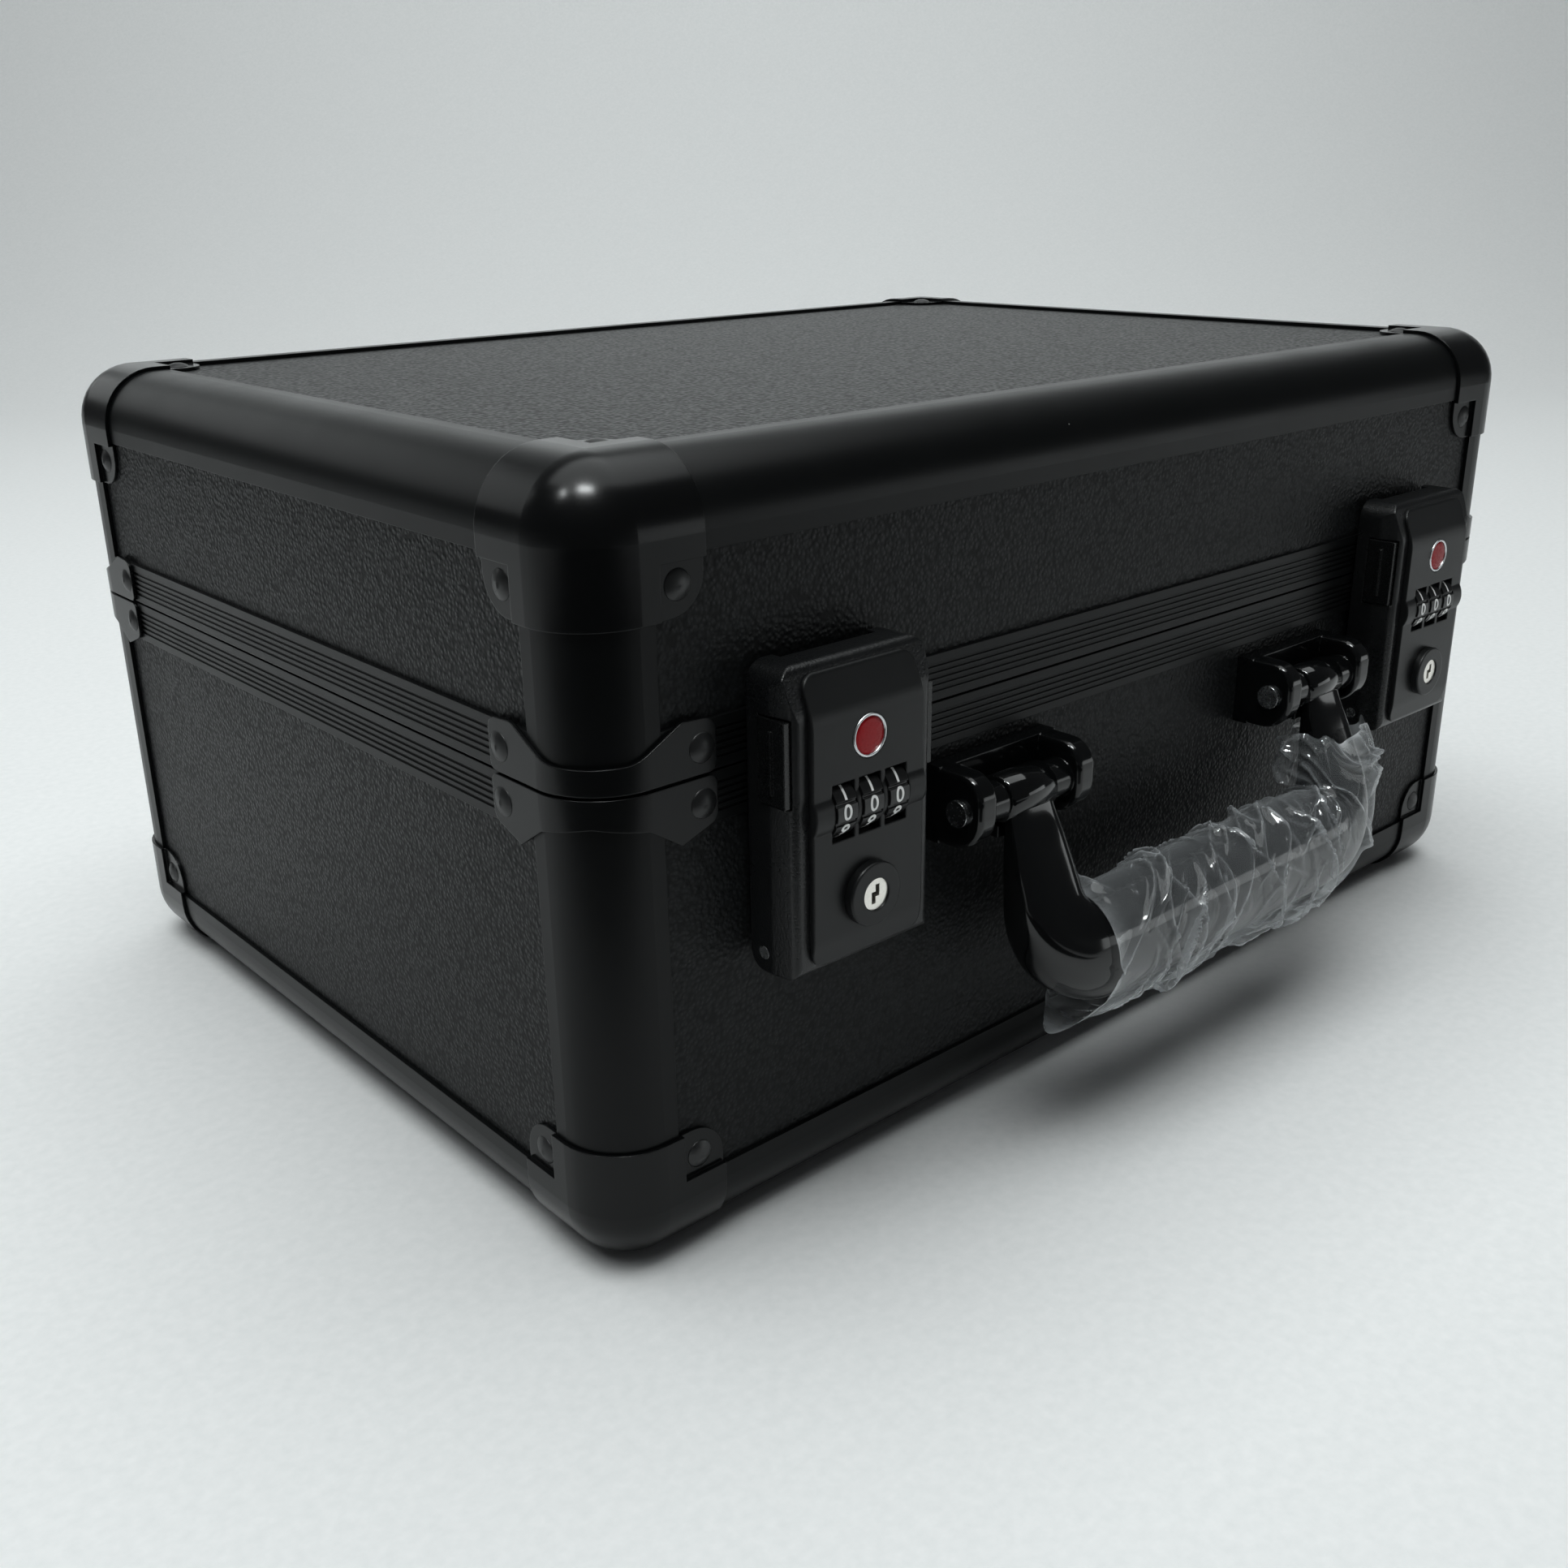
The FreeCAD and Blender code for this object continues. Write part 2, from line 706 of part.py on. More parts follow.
def hinge_leaf(level):
    """One leaf of the hinge at x = 0: the base leaf has the outer knuckles, the lid leaf the middle one."""
    y = REAR + HINGE_OFFSET
    half = HINGE_W / 2
    outer_end = HINGE_W / 6
    middle_end = outer_end - HINGE_END_GAP
    outer_spans = [(-half, -outer_end), (outer_end, half)]
    middle_spans = [(-middle_end, middle_end)]
    spans, others = (outer_spans, middle_spans) if level < 0 else (middle_spans, outer_spans)
    low, high = sorted((SPLIT, SPLIT + level * HINGE_LEAF_H))
    leaf = block(-half, half, REAR, REAR + HINGE_LEAF_T, low, high)
    for x0, x1 in spans:
        leaf = leaf.fuse(rod_x(HINGE_KNUCKLE_R, x0, x1, y, SPLIT))
    for x0, x1 in others:
        leaf = leaf.cut(
            rod_x(HINGE_KNUCKLE_R + HINGE_SIDE_GAP, x0 - HINGE_SIDE_GAP, x1 + HINGE_SIDE_GAP, y, SPLIT)
        )
    slit = block(-half, half, REAR, REAR + HINGE_LEAF_T, SPLIT - RIM_GAP / 2, SPLIT + RIM_GAP / 2)
    leaf = leaf.cut(slit)
    for x0, x1 in spans:
        leaf = leaf.fuse(rod_x(HINGE_KNUCKLE_R, x0, x1, y, SPLIT))
    return leaf.cut(rod_x(HINGE_PIN_R + RUN_CLEAR, -half, half, y, SPLIT)).removeSplitter()


def hinge_leaves(level, holes):
    """The pair of leaves on the base (level -1) or lid (level 1)."""
    return [moved(hinge_leaf(level), sx * HINGE_X).cut(holes) for sx in SIDES]


def hinge_pins():
    """The two hinge pins."""
    half = HINGE_W / 2
    y = REAR + HINGE_OFFSET
    return [rod_x(HINGE_PIN_R, sx * HINGE_X - half, sx * HINGE_X + half, y, SPLIT) for sx in SIDES]


# Carrying handle

PIVOT_LINE = Vector(0, ahead(HANDLE_PIVOT_OUT), up(HANDLE_PIVOT_Z))


def tilted(shape):
    """The shape swung about the handle's pivot from straight down to where it hangs."""
    copy = shape.copy()
    copy.rotate(PIVOT_LINE, X_AXIS, -HANDLE_TILT)
    return copy


def grip_ellipse(half_h, half_t, x):
    """Wire of an upright ellipse about the middle of the grip."""
    centre = Vector(x, PIVOT_LINE.y - GRIP_FORWARD, PIVOT_LINE.z - GRIP_DROP)
    ellipse = Part.Ellipse(
        centre + Vector(0, 0, half_h), centre + Vector(0, half_t, 0), centre
    )
    return Part.Wire([ellipse.toShape()])


def handle_bail():
    """One-piece handle: two hubs, two arms that widen downwards and a thick rounded grip."""
    outer_x = HANDLE_X + HUB_W / 2
    inner_x = HANDLE_X - HUB_W / 2
    band_top = -GRIP_DROP + ARM_BAND_HALF_H
    band_bottom = -GRIP_DROP - ARM_BAND_HALF_H
    window_x = GRIP_STRAIGHT + ARM_CORNER_R / 2
    points = [
        (-outer_x, 0),
        (-outer_x, band_bottom, ARM_CORNER_R),
        (outer_x, band_bottom, ARM_CORNER_R),
        (outer_x, 0),
        (inner_x, 0),
        (inner_x, -BOSS_R - STOP_CLEAR),
        (window_x, band_top, ARM_WINDOW_R),
        (-window_x, band_top, ARM_WINDOW_R),
        (-inner_x, -BOSS_R - STOP_CLEAR),
        (-inner_x, 0),
    ]
    placed = [(p[0], PIVOT_LINE.z + p[1]) + p[2:] for p in points]
    front = PIVOT_LINE.y - HUB_R
    bail = softened(prism_y(placed, front, front + ARM_T), ARM_EDGE_R, Y_AXIS)
    for sx in SIDES:
        bail = bail.fuse(
            rod_x(HUB_R, sx * HANDLE_X - HUB_W / 2, sx * HANDLE_X + HUB_W / 2, PIVOT_LINE.y, PIVOT_LINE.z)
        )
        full = grip_ellipse(GRIP_HALF_H, GRIP_HALF_T, sx * GRIP_STRAIGHT)
        slim = grip_ellipse(GRIP_END_HALF_H, ARM_T / 2, sx * (GRIP_STRAIGHT + GRIP_TAPER))
        bail = bail.fuse(Part.makeLoft([full, slim], True, True))
    grip = Part.Face(grip_ellipse(GRIP_HALF_H, GRIP_HALF_T, -GRIP_STRAIGHT))
    bail = bail.fuse(grip.extrude(Vector(2 * GRIP_STRAIGHT, 0, 0)))
    bore = rod_x(HANDLE_PIN_R + RUN_CLEAR, -outer_x, outer_x, PIVOT_LINE.y, PIVOT_LINE.z)
    return tilted(bail.cut(bore).removeSplitter())


def handle_film():
    """Thin clear sleeve round the grip."""
    def tube(gap):
        face = Part.Face(grip_ellipse(GRIP_HALF_H + gap, GRIP_HALF_T + gap, -FILM_HALF_L))
        return face.extrude(Vector(2 * FILM_HALF_L, 0, 0))

    return tilted(tube(FILM_GAP + FILM_T).cut(tube(FILM_GAP)))


def handle_bracket():
    """Moulded bracket at x = 0: two rounded knuckles joined by a web against the panel."""
    z0 = up(HANDLE_PIVOT_Z - BRACKET_BOTTOM_DOWN)
    z1 = up(HANDLE_PIVOT_Z + BRACKET_TOP_UP)
    pivot_y = PIVOT_LINE.y
    pivot_z = PIVOT_LINE.z
    gap = KNUCKLE_GAP / 2
    outer = gap + KNUCKLE_W
    nose = [
        (PANEL_OUT, z0),
        (BRACKET_NOSE_OUT, z0, BRACKET_NOSE_BOTTOM_R),
        (BRACKET_NOSE_OUT, z1, BRACKET_NOSE_TOP_R),
        (PANEL_OUT, z1),
    ]
    bracket = block(-outer, outer, ahead(BRACKET_WEB_OUT), ahead(PANEL_OUT), z0, z1)
    hub_side = HUB_W / 2 + HANDLE_SIDE_GAP
    for sx in SIDES:
        x0, x1 = sorted((sx * gap, sx * outer))
        knuckle = softened(side_prism(nose, x0, x1), KNUCKLE_EDGE_R, X_AXIS, ahead(PANEL_OUT))
        bracket = bracket.fuse(knuckle)
        x0, x1 = sorted((sx * hub_side, sx * gap))
        bracket = bracket.fuse(rod_x(BOSS_R, x0, x1, pivot_y, pivot_z))
    stop_drop = HUB_R + STOP_CLEAR
    arm_back = HANDLE_PIVOT_OUT + (HUB_R - ARM_T) * math.cos(TILT) + stop_drop * math.tan(TILT)
    stop = block(
        -HUB_W / 2, HUB_W / 2, ahead(arm_back - STOP_CLEAR), ahead(PANEL_OUT), z0, pivot_z - stop_drop
    )
    bracket = bracket.fuse(stop)
    bracket = bracket.cut(rod_x(HANDLE_PIN_R, -outer, outer, pivot_y, pivot_z))
    return bracket.removeSplitter()


def handle_brackets():
    """Both brackets, drilled for their fixings."""
    return [moved(handle_bracket(), sx * HANDLE_X).cut(BASE_HOLES) for sx in SIDES]


def handle_pins():
    """A headed pivot pin through each bracket."""
    half = KNUCKLE_GAP / 2 + KNUCKLE_W
    pins = []
    for sx in SIDES:
        x = sx * HANDLE_X
        pin = rod_x(HANDLE_PIN_R, x - half, x + half, PIVOT_LINE.y, PIVOT_LINE.z)
        for x0 in (x - half - PIN_HEAD_H, x + half):
            pin = pin.fuse(rod_x(PIN_HEAD_R, x0, x0 + PIN_HEAD_H, PIVOT_LINE.y, PIVOT_LINE.z))
        pins.append(pin.removeSplitter())
    return pins


# Locks, each drawn about x = 0 and then set to its side

PIVOT_Y = ahead(PIVOT_OUT)
PIVOT_UP = up(PIVOT_Z)
LOCK_BOTTOM = PIVOT_UP - LOCK_BOTTOM_DROP
LOCK_TOP = up(LOCK_TOP_Z)
LOCK_HALF_W = LOCK_W / 2
CAVITY_X = LOCK_HALF_W - LOCK_SIDE_WALL
DIAL_Y = ahead(DIAL_OUT)
DIAL_UP = up(DIAL_Z)
KEY_UP = up(KEY_Z)
DIAL_PLACES = (-DIAL_PITCH, 0.0, DIAL_PITCH)


def lock_plate():
    """Fixed plate on the front panel with two ears for the flap's pivot pin."""
    top = SPLIT - RIM_H - LOCK_PLATE_GAP
    face = PANEL_OUT + LOCK_PLATE_T
    plate = block(
        -LOCK_PLATE_HALF_W, LOCK_PLATE_HALF_W, ahead(face), ahead(PANEL_OUT), PIVOT_UP - LOCK_EAR_R, top
    )
    ear = [
        (PANEL_OUT, PIVOT_UP - LOCK_EAR_R),
        (PIVOT_OUT + LOCK_EAR_R, PIVOT_UP - LOCK_EAR_R, LOCK_EAR_ROUND),
        (PIVOT_OUT + LOCK_EAR_R, PIVOT_UP + LOCK_EAR_R, LOCK_EAR_ROUND),
        (face, PIVOT_UP + LOCK_EAR_RISE),
        (PANEL_OUT, PIVOT_UP + LOCK_EAR_RISE),
    ]
    for sx in SIDES:
        x0, x1 = sorted((sx * LOCK_PLATE_HALF_W, sx * (LOCK_PLATE_HALF_W - LOCK_EAR_T)))
        plate = plate.fuse(side_prism(ear, x0, x1))
    bore = rod_x(PIVOT_R + RUN_CLEAR, -LOCK_PLATE_HALF_W, LOCK_PLATE_HALF_W, PIVOT_Y, PIVOT_UP)
    return plate.cut(bore).removeSplitter()


def flap_form():
    """Outer form of the lock's hinged body before it is hollowed."""
    side = side_prism(
        [
            (LOCK_BACK, LOCK_BOTTOM, LOCK_FOOT_R),
            (LOCK_FRONT, LOCK_BOTTOM, LOCK_BOTTOM_EDGE_R),
            (LOCK_FRONT, up(LOCK_SLOPE_Z), LOCK_SLOPE_R),
            (LOCK_TOP_OUT, LOCK_TOP, LOCK_TOP_EDGE_R),
            (LOCK_BACK, LOCK_TOP),
        ],
        -LOCK_HALF_W,
        LOCK_HALF_W,
    )
    front_x = LOCK_HALF_W - LOCK_SIDE_DRAFT
    plan = [
        (-LOCK_HALF_W, ahead(LOCK_BACK)),
        (-LOCK_HALF_W, ahead(LOCK_SIDE_OUT), LOCK_SHOULDER_R),
        (-front_x, ahead(LOCK_FRONT), LOCK_FRONT_EDGE_R),
        (front_x, ahead(LOCK_FRONT), LOCK_FRONT_EDGE_R),
        (LOCK_HALF_W, ahead(LOCK_SIDE_OUT), LOCK_SHOULDER_R),
        (LOCK_HALF_W, ahead(LOCK_BACK)),
    ]
    crown = [
        (-LOCK_HALF_W, LOCK_BOTTOM),
        (LOCK_HALF_W, LOCK_BOTTOM),
        (LOCK_HALF_W, LOCK_TOP, LOCK_CROWN_R),
        (-LOCK_HALF_W, LOCK_TOP, LOCK_CROWN_R),
    ]
    form = side.common(prism_z(plan, LOCK_BOTTOM, LOCK_TOP))
    return form.common(prism_y(crown, ahead(LOCK_FRONT), ahead(LOCK_BACK)))


def dial_pockets(radius):
    """Cutters round the three dials."""
    half = DIAL_W / 2 + DIAL_CLEAR
    return [rod_x(radius, x - half, x + half, DIAL_Y, DIAL_UP) for x in DIAL_PLACES]


def flap_body():
    """Hollow hinged body with openings for the dials, the buttons, the key and the strike."""
    body = flap_form()
    inner_front = LOCK_FRONT - LOCK_FRONT_WALL
    cavity = side_prism(
        [
            (PANEL_OUT, LOCK_BOTTOM + LOCK_END_WALL),
            (inner_front, LOCK_BOTTOM + LOCK_END_WALL),
            (inner_front, up(LOCK_SLOPE_Z)),
            (LOCK_TOP_OUT - LOCK_FRONT_WALL, LOCK_TOP - LOCK_END_WALL),
            (PANEL_OUT, LOCK_TOP - LOCK_END_WALL),
        ],
        -CAVITY_X,
        CAVITY_X,
    )
    body = body.cut(cavity)
    strike_way = STRIKE_HALF_W + STRIKE_PASS_CLEAR
    body = body.cut(
        block(
            -strike_way,
            strike_way,
            ahead(STRIKE_OUT + STRIKE_PASS_CLEAR),
            ahead(PANEL_OUT),
            up(STRIKE_Z1),
            LOCK_TOP,
        )
    )
    ear_front = PIVOT_OUT + LOCK_EAR_R + LOCK_PLATE_GAP
    for x in (-LOCK_PLATE_HALF_W + LOCK_EAR_T / 2, LOCK_PLATE_HALF_W - LOCK_EAR_T / 2):
        half = LOCK_EAR_T / 2 + LOCK_PLATE_GAP
        slot = block(x - half, x + half, ahead(ear_front), ahead(PANEL_OUT), LOCK_BOTTOM, PIVOT_UP)
        body = body.cut(slot)
    for sx in SIDES:
        window = block(
            LOCK_HALF_W - LOCK_SIDE_WALL,
            LOCK_HALF_W,
            ahead(BUTTON_OUT1 + BUTTON_CLEAR),
            ahead(BUTTON_OUT0 - BUTTON_CLEAR),
            up(BUTTON_Z0 - BUTTON_CLEAR),
            up(BUTTON_Z1 + BUTTON_CLEAR),
        )
        body = body.cut(window if sx > 0 else window.mirror(Vector(0, 0, 0), X_AXIS))
        stem_x = STEM_HALF_W + GUIDE_CLEAR
        x0, x1 = sorted((sx * stem_x, sx * (stem_x + GUIDE_W)))
        guide_z = KEY_UP + BAR_WINDOW_UP + BAR_EDGE + BAR_LIFT + GUIDE_CLEAR
        guide = block(x0, x1, ahead(inner_front), ahead(BAR_OUT0), guide_z, guide_z + GUIDE_H)
        body = body.fuse(guide)
    for pocket in dial_pockets(DIAL_R + DIAL_CLEAR):
        body = body.cut(pocket)
    seat = CAVITY_X + AXLE_SEAT
    body = body.cut(rod_x(DIAL_AXLE_R, -seat, seat, DIAL_Y, DIAL_UP))
    body = body.cut(rod_x(PIVOT_R, -LOCK_HALF_W, LOCK_HALF_W, PIVOT_Y, PIVOT_UP))
    body = body.cut(rod_out(KEY_PLUG_R + RUN_CLEAR, 0, KEY_UP, 0, LOCK_FRONT))
    return body.removeSplitter()


def face_plate():
    """Satin plate on the front of the flap, with a rounded hump across the dials."""
    half = PLATE_W / 2
    low = LOCK_BOTTOM + PLATE_END_INSET
    high = LOCK_TOP - PLATE_END_INSET
    slope_back = PLATE_FRONT - LOCK_FRONT
    side = side_prism(
        [
            (LOCK_TOP_OUT - LOCK_FRONT_WALL, low),
            (PLATE_FOOT_OUT, low, PLATE_END_R),
            (PLATE_FRONT, low + PLATE_FOOT_RISE, PLATE_BEND_R),
            (PLATE_FRONT, up(LOCK_SLOPE_Z) - slope_back, PLATE_BEND_R),
            (LOCK_TOP_OUT + slope_back, high, PLATE_END_R),
            (LOCK_TOP_OUT - LOCK_FRONT_WALL, high),
        ],
        -half,
        half,
    )
    r = PLATE_CORNER_R
    face = [(-half, low, r), (half, low, r), (half, high, r), (-half, high, r)]
    plate = side.common(prism_y(face, ahead(PLATE_FRONT), ahead(0)))
    hump = rod_x(HUMP_R, -half, half, DIAL_Y, DIAL_UP)
    plate = plate.fuse(hump).cut(flap_form())
    plate = plate.common(block(-half, half, ahead(DIAL_OUT + DIAL_R), ahead(LOCK_TOP_OUT), low, high))
    for x in DIAL_PLACES:
        half_w = DIAL_W / 2 + DIAL_CLEAR
        plate = plate.cut(
            block(
                x - half_w,
                x + half_w,
                ahead(DIAL_OUT + DIAL_R),
                ahead(LOCK_TOP_OUT),
                DIAL_UP - WINDOW_HALF_H,
                DIAL_UP + WINDOW_HALF_H,
            )
        )
    plate = plate.cut(rod_out(KEY_PLUG_R + RUN_CLEAR, 0, KEY_UP, 0, PLATE_FRONT))
    plate = plate.cut(rod_out(BADGE_R, 0, up(BADGE_Z), PLATE_FRONT - BADGE_DEPTH, PLATE_FRONT))
    return plate.removeSplitter()


def dial(x):
    """Number wheel with a notch between each pair of digits."""
    wheel = rod_x(DIAL_R, x - DIAL_W / 2, x + DIAL_W / 2, DIAL_Y, DIAL_UP)
    for i in range(DIAL_DIGITS):
        angle = math.radians((i + 0.5) * 360.0 / DIAL_DIGITS)
        y = DIAL_Y - DIAL_R * math.cos(angle)
        z = DIAL_UP + DIAL_R * math.sin(angle)
        wheel = wheel.cut(rod_x(DIAL_NOTCH_R, x - DIAL_W / 2, x + DIAL_W / 2, y, z))
    return wheel.cut(rod_x(DIAL_AXLE_R + RUN_CLEAR, x - DIAL_W / 2, x + DIAL_W / 2, DIAL_Y, DIAL_UP))


def button():
    """Right-hand release button: a ridged cap, an arm and a nose that reaches behind the strike."""
    outer = LOCK_HALF_W + BUTTON_PROUD
    cap = block(
        outer - BUTTON_T, outer, ahead(BUTTON_OUT1), ahead(BUTTON_OUT0), up(BUTTON_Z0), up(BUTTON_Z1)
    )
    middle = (BUTTON_OUT0 + BUTTON_OUT1) / 2
    ridge = block(
        outer,
        outer + BUTTON_RIDGE,
        ahead(middle + BUTTON_RIDGE),
        ahead(middle - BUTTON_RIDGE),
        up(BUTTON_Z0) + BUTTON_T,
        up(BUTTON_Z1) - BUTTON_T,
    )
    arm = block(ARM_INNER_X, outer - BUTTON_T, ahead(ARM_OUT1), ahead(BUTTON_OUT0), up(ARM_Z0), up(ARM_Z1))
    hook = block(
        ARM_INNER_X, ARM_INNER_X + NECK_W, ahead(BUTTON_OUT0), ahead(NOSE_OUT0), up(ARM_Z0), up(ARM_Z1)
    )
    nose = block(ARM_INNER_X, NOSE_X, ahead(NOSE_OUT1), ahead(NOSE_OUT0), up(ARM_Z0), up(ARM_Z1))
    return joined([cap, ridge, arm, hook, nose])


def strike():
    """Catch on the lid rim: a bridge with a pocket on each side for the buttons' noses."""
    half = STRIKE_HALF_W
    catch = block(-half, half, ahead(STRIKE_OUT), ahead(0), up(STRIKE_Z0), up(STRIKE_Z1))
    slot = STRIKE_SLOT_X
    catch = catch.cut(
        block(-slot, slot, ahead(STRIKE_OUT), ahead(0), up(STRIKE_Z0), up(STRIKE_SLOT_TOP))
    )
    pocket = STRIKE_POCKET_X
    return catch.cut(
        block(
            -pocket,
            pocket,
            ahead(STRIKE_POCKET_OUT),
            ahead(0),
            up(STRIKE_POCKET_Z0),
            up(STRIKE_POCKET_Z1),
        )
    )


def key_ring():
    """Raised collar round the key plug."""
    ring = rod_out(KEY_RING_R, 0, KEY_UP, PLATE_FRONT, PLATE_FRONT + KEY_RING_PROUD)
    front = ahead(PLATE_FRONT + KEY_RING_PROUD)
    ring = ring.makeFillet(KEY_RING_EDGE_R, [e for e in ring.Edges if e.BoundBox.YMax < front + 1e-6])
    return ring.cut(rod_out(KEY_PLUG_R + RUN_CLEAR, 0, KEY_UP, PLATE_FRONT, PLATE_FRONT + KEY_RING_PROUD))


def key_plug():
    """Turning plug with a stepped keyway in front and a cam at the back."""
    face = PLATE_FRONT + KEY_RING_PROUD - KEY_PLUG_RECESS
    plug = rod_out(KEY_PLUG_R, 0, KEY_UP, KEY_PLUG_BACK, face)
    shaft = rod_out(KEY_SHAFT_R, 0, KEY_UP, BAR_OUT0, KEY_PLUG_BACK)
    cam = block(0, CAM_LENGTH, ahead(BAR_OUT1), ahead(BAR_OUT0), KEY_UP - CAM_HALF_W, KEY_UP + CAM_HALF_W)
    plug = joined([plug, shaft, cam])
    for sx in SIDES:
        x0, x1 = sorted((0, sx * KEYWAY_W))
        z0, z1 = sorted((-sx * KEYWAY_W / 2, sx * KEYWAY_H / 2))
        way = block(x0, x1, ahead(face), ahead(face - KEYWAY_DEPTH), KEY_UP + z0, KEY_UP + z1)
        plug = plug.cut(way)
    return plug.removeSplitter()


def lock_bar():
    """Flat bar lifted by the cam until its stem stands between the buttons' arms."""
    foot = KEY_UP - BAR_WINDOW_DOWN - BAR_EDGE
    head = KEY_UP + BAR_WINDOW_UP + BAR_EDGE
    bar = block(-BAR_HALF_W, BAR_HALF_W, ahead(BAR_OUT1), ahead(BAR_OUT0), foot, head)
    stem = block(-STEM_HALF_W, STEM_HALF_W, ahead(BAR_OUT1), ahead(BAR_OUT0), head, up(STEM_TOP))
    window = block(
        -BAR_WINDOW_X,
        BAR_WINDOW_X,
        ahead(BAR_OUT1),
        ahead(BAR_OUT0),
        KEY_UP - BAR_WINDOW_DOWN,
        KEY_UP + BAR_WINDOW_UP,
    )
    return joined([bar, stem]).cut(window)


def save_lock(side, x):
    """All the pieces of one lock, set at its place along the front."""
    right_button = button()
    pieces = {
        "plate": lock_plate(),
        "pivot_pin": rod_x(PIVOT_R, -LOCK_HALF_W, LOCK_HALF_W, PIVOT_Y, PIVOT_UP),
        "flap_body": flap_body(),
        "face_plate": face_plate(),
        "dial_axle": rod_x(
            DIAL_AXLE_R, -CAVITY_X - AXLE_SEAT, CAVITY_X + AXLE_SEAT, DIAL_Y, DIAL_UP
        ),
        "button_left": right_button.mirror(Vector(0, 0, 0), X_AXIS),
        "button_right": right_button,
        "key_ring": key_ring(),
        "key_plug": key_plug(),
        "bar": lock_bar(),
        "strike": strike(),
    }
    for i, place in enumerate(DIAL_PLACES):
        pieces["dial_" + str(i + 1)] = dial(place)
    for name, shape in pieces.items():
        placed = moved(shape, x)
        if name == "plate":
            placed = placed.cut(BASE_HOLES)
        save(side + "_lock_" + name, [placed])


def save_case():
    """Base, lid and hinges."""
    save_panels(
        "base", BOTTOM + PROFILE_R, BASE_PANEL_TOP, "base_floor_panel", BOTTOM + PANEL_FACE, BASE_HOLES
    )
    save_panels("lid", LID_PANEL_BOTTOM, TOP - PROFILE_R, "lid_top_panel", TOP - PANEL_BACK, LID_HOLES)
    edges = bottom_profiles()
    save("base_edge_profiles", edges)
    save("lid_edge_profiles", [mirrored(edge, Z_AXIS) for edge in edges])
    save("base_corner_posts", posts(BOTTOM + PROFILE_LEG, SPLIT - RIM_GAP / 2))
    save("lid_corner_posts", posts(SPLIT + RIM_GAP / 2, TOP - PROFILE_LEG))
    save("base_rim", rim(base_rim_section(), BASE_HOLES))
    save("lid_rim", rim(lid_rim_section(), LID_HOLES))
    caps = four_corners(corner_cap())
    save("base_corner_caps", caps)
    save("lid_corner_caps", [mirrored(cap, Z_AXIS) for cap in caps])
    save("base_rim_brackets", four_corners(lower_bracket()))
    save("lid_rim_brackets", four_corners(upper_bracket()))
    save("base_rivets", rivets(BASE_SPOTS, True) + rivets(FLUSH_SPOTS, False))
    save("lid_rivets", rivets(LID_SPOTS, True))
    save("base_lining", [lining(BOTTOM + PANEL_BACK, SPLIT - RIM_H)])
    lid_depth = TOP - PANEL_BACK - SPLIT - RIM_H
    lid_tray = lining(BOTTOM + PANEL_BACK, BOTTOM + PANEL_BACK + lid_depth)
    save("lid_lining", [mirrored(lid_tray, Z_AXIS)])
    save("hinge_base_leaves", hinge_leaves(-1, BASE_HOLES))
    save("hinge_lid_leaves", hinge_leaves(1, LID_HOLES))
    save("hinge_pins", hinge_pins())


def save_handle():
    """Handle, its film sleeve, brackets and pins."""
    save("handle_bail", [handle_bail()])
    save("handle_film", [handle_film()])
    save("handle_brackets", handle_brackets())
    save("handle_pins", handle_pins())


os.makedirs("parts", exist_ok=True)
save_case()
save_handle()
save_lock("left", -LOCK_X)
save_lock("right", LOCK_X)
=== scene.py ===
"""Looks of the lockable carrying case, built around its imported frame."""

from __future__ import annotations

import json
import logging
import math
import random
from dataclasses import dataclass
from enum import Enum

import bmesh
import bpy
import numpy as np
from mathutils import Matrix, Vector

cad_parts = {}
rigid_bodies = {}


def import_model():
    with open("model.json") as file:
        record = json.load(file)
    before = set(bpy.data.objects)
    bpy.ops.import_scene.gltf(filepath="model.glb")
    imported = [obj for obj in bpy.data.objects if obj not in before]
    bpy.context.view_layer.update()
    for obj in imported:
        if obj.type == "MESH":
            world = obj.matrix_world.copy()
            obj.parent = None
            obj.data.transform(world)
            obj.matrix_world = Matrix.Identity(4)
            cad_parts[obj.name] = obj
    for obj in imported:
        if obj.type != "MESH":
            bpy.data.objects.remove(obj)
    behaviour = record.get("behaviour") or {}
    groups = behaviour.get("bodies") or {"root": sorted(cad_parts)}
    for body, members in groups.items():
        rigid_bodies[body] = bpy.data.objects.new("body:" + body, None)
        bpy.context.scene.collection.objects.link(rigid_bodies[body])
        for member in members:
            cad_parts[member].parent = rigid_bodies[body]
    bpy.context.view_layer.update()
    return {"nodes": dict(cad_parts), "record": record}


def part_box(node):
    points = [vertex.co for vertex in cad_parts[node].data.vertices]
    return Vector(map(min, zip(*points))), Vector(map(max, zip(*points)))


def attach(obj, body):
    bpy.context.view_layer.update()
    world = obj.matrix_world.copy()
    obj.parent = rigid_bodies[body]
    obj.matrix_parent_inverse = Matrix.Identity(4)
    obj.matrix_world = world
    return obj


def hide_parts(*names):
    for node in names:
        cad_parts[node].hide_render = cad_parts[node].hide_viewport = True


LOG = logging.getLogger("carrying_case")
MM = 0.001
DIGITS = 10
TURN_STEPS = 48
WELD = 1e-6
Tone = tuple[float, float, float]
DUST_TONE: Tone = (0.4, 0.4, 0.39)
LAMP_TONE: Tone = (0.955, 1.0, 1.0)
FILM_TONE: Tone = (0.62, 0.65, 0.67)


class Side(Enum):
    """The two locks, named as seen from the front."""

    LEFT = "left"
    RIGHT = "right"


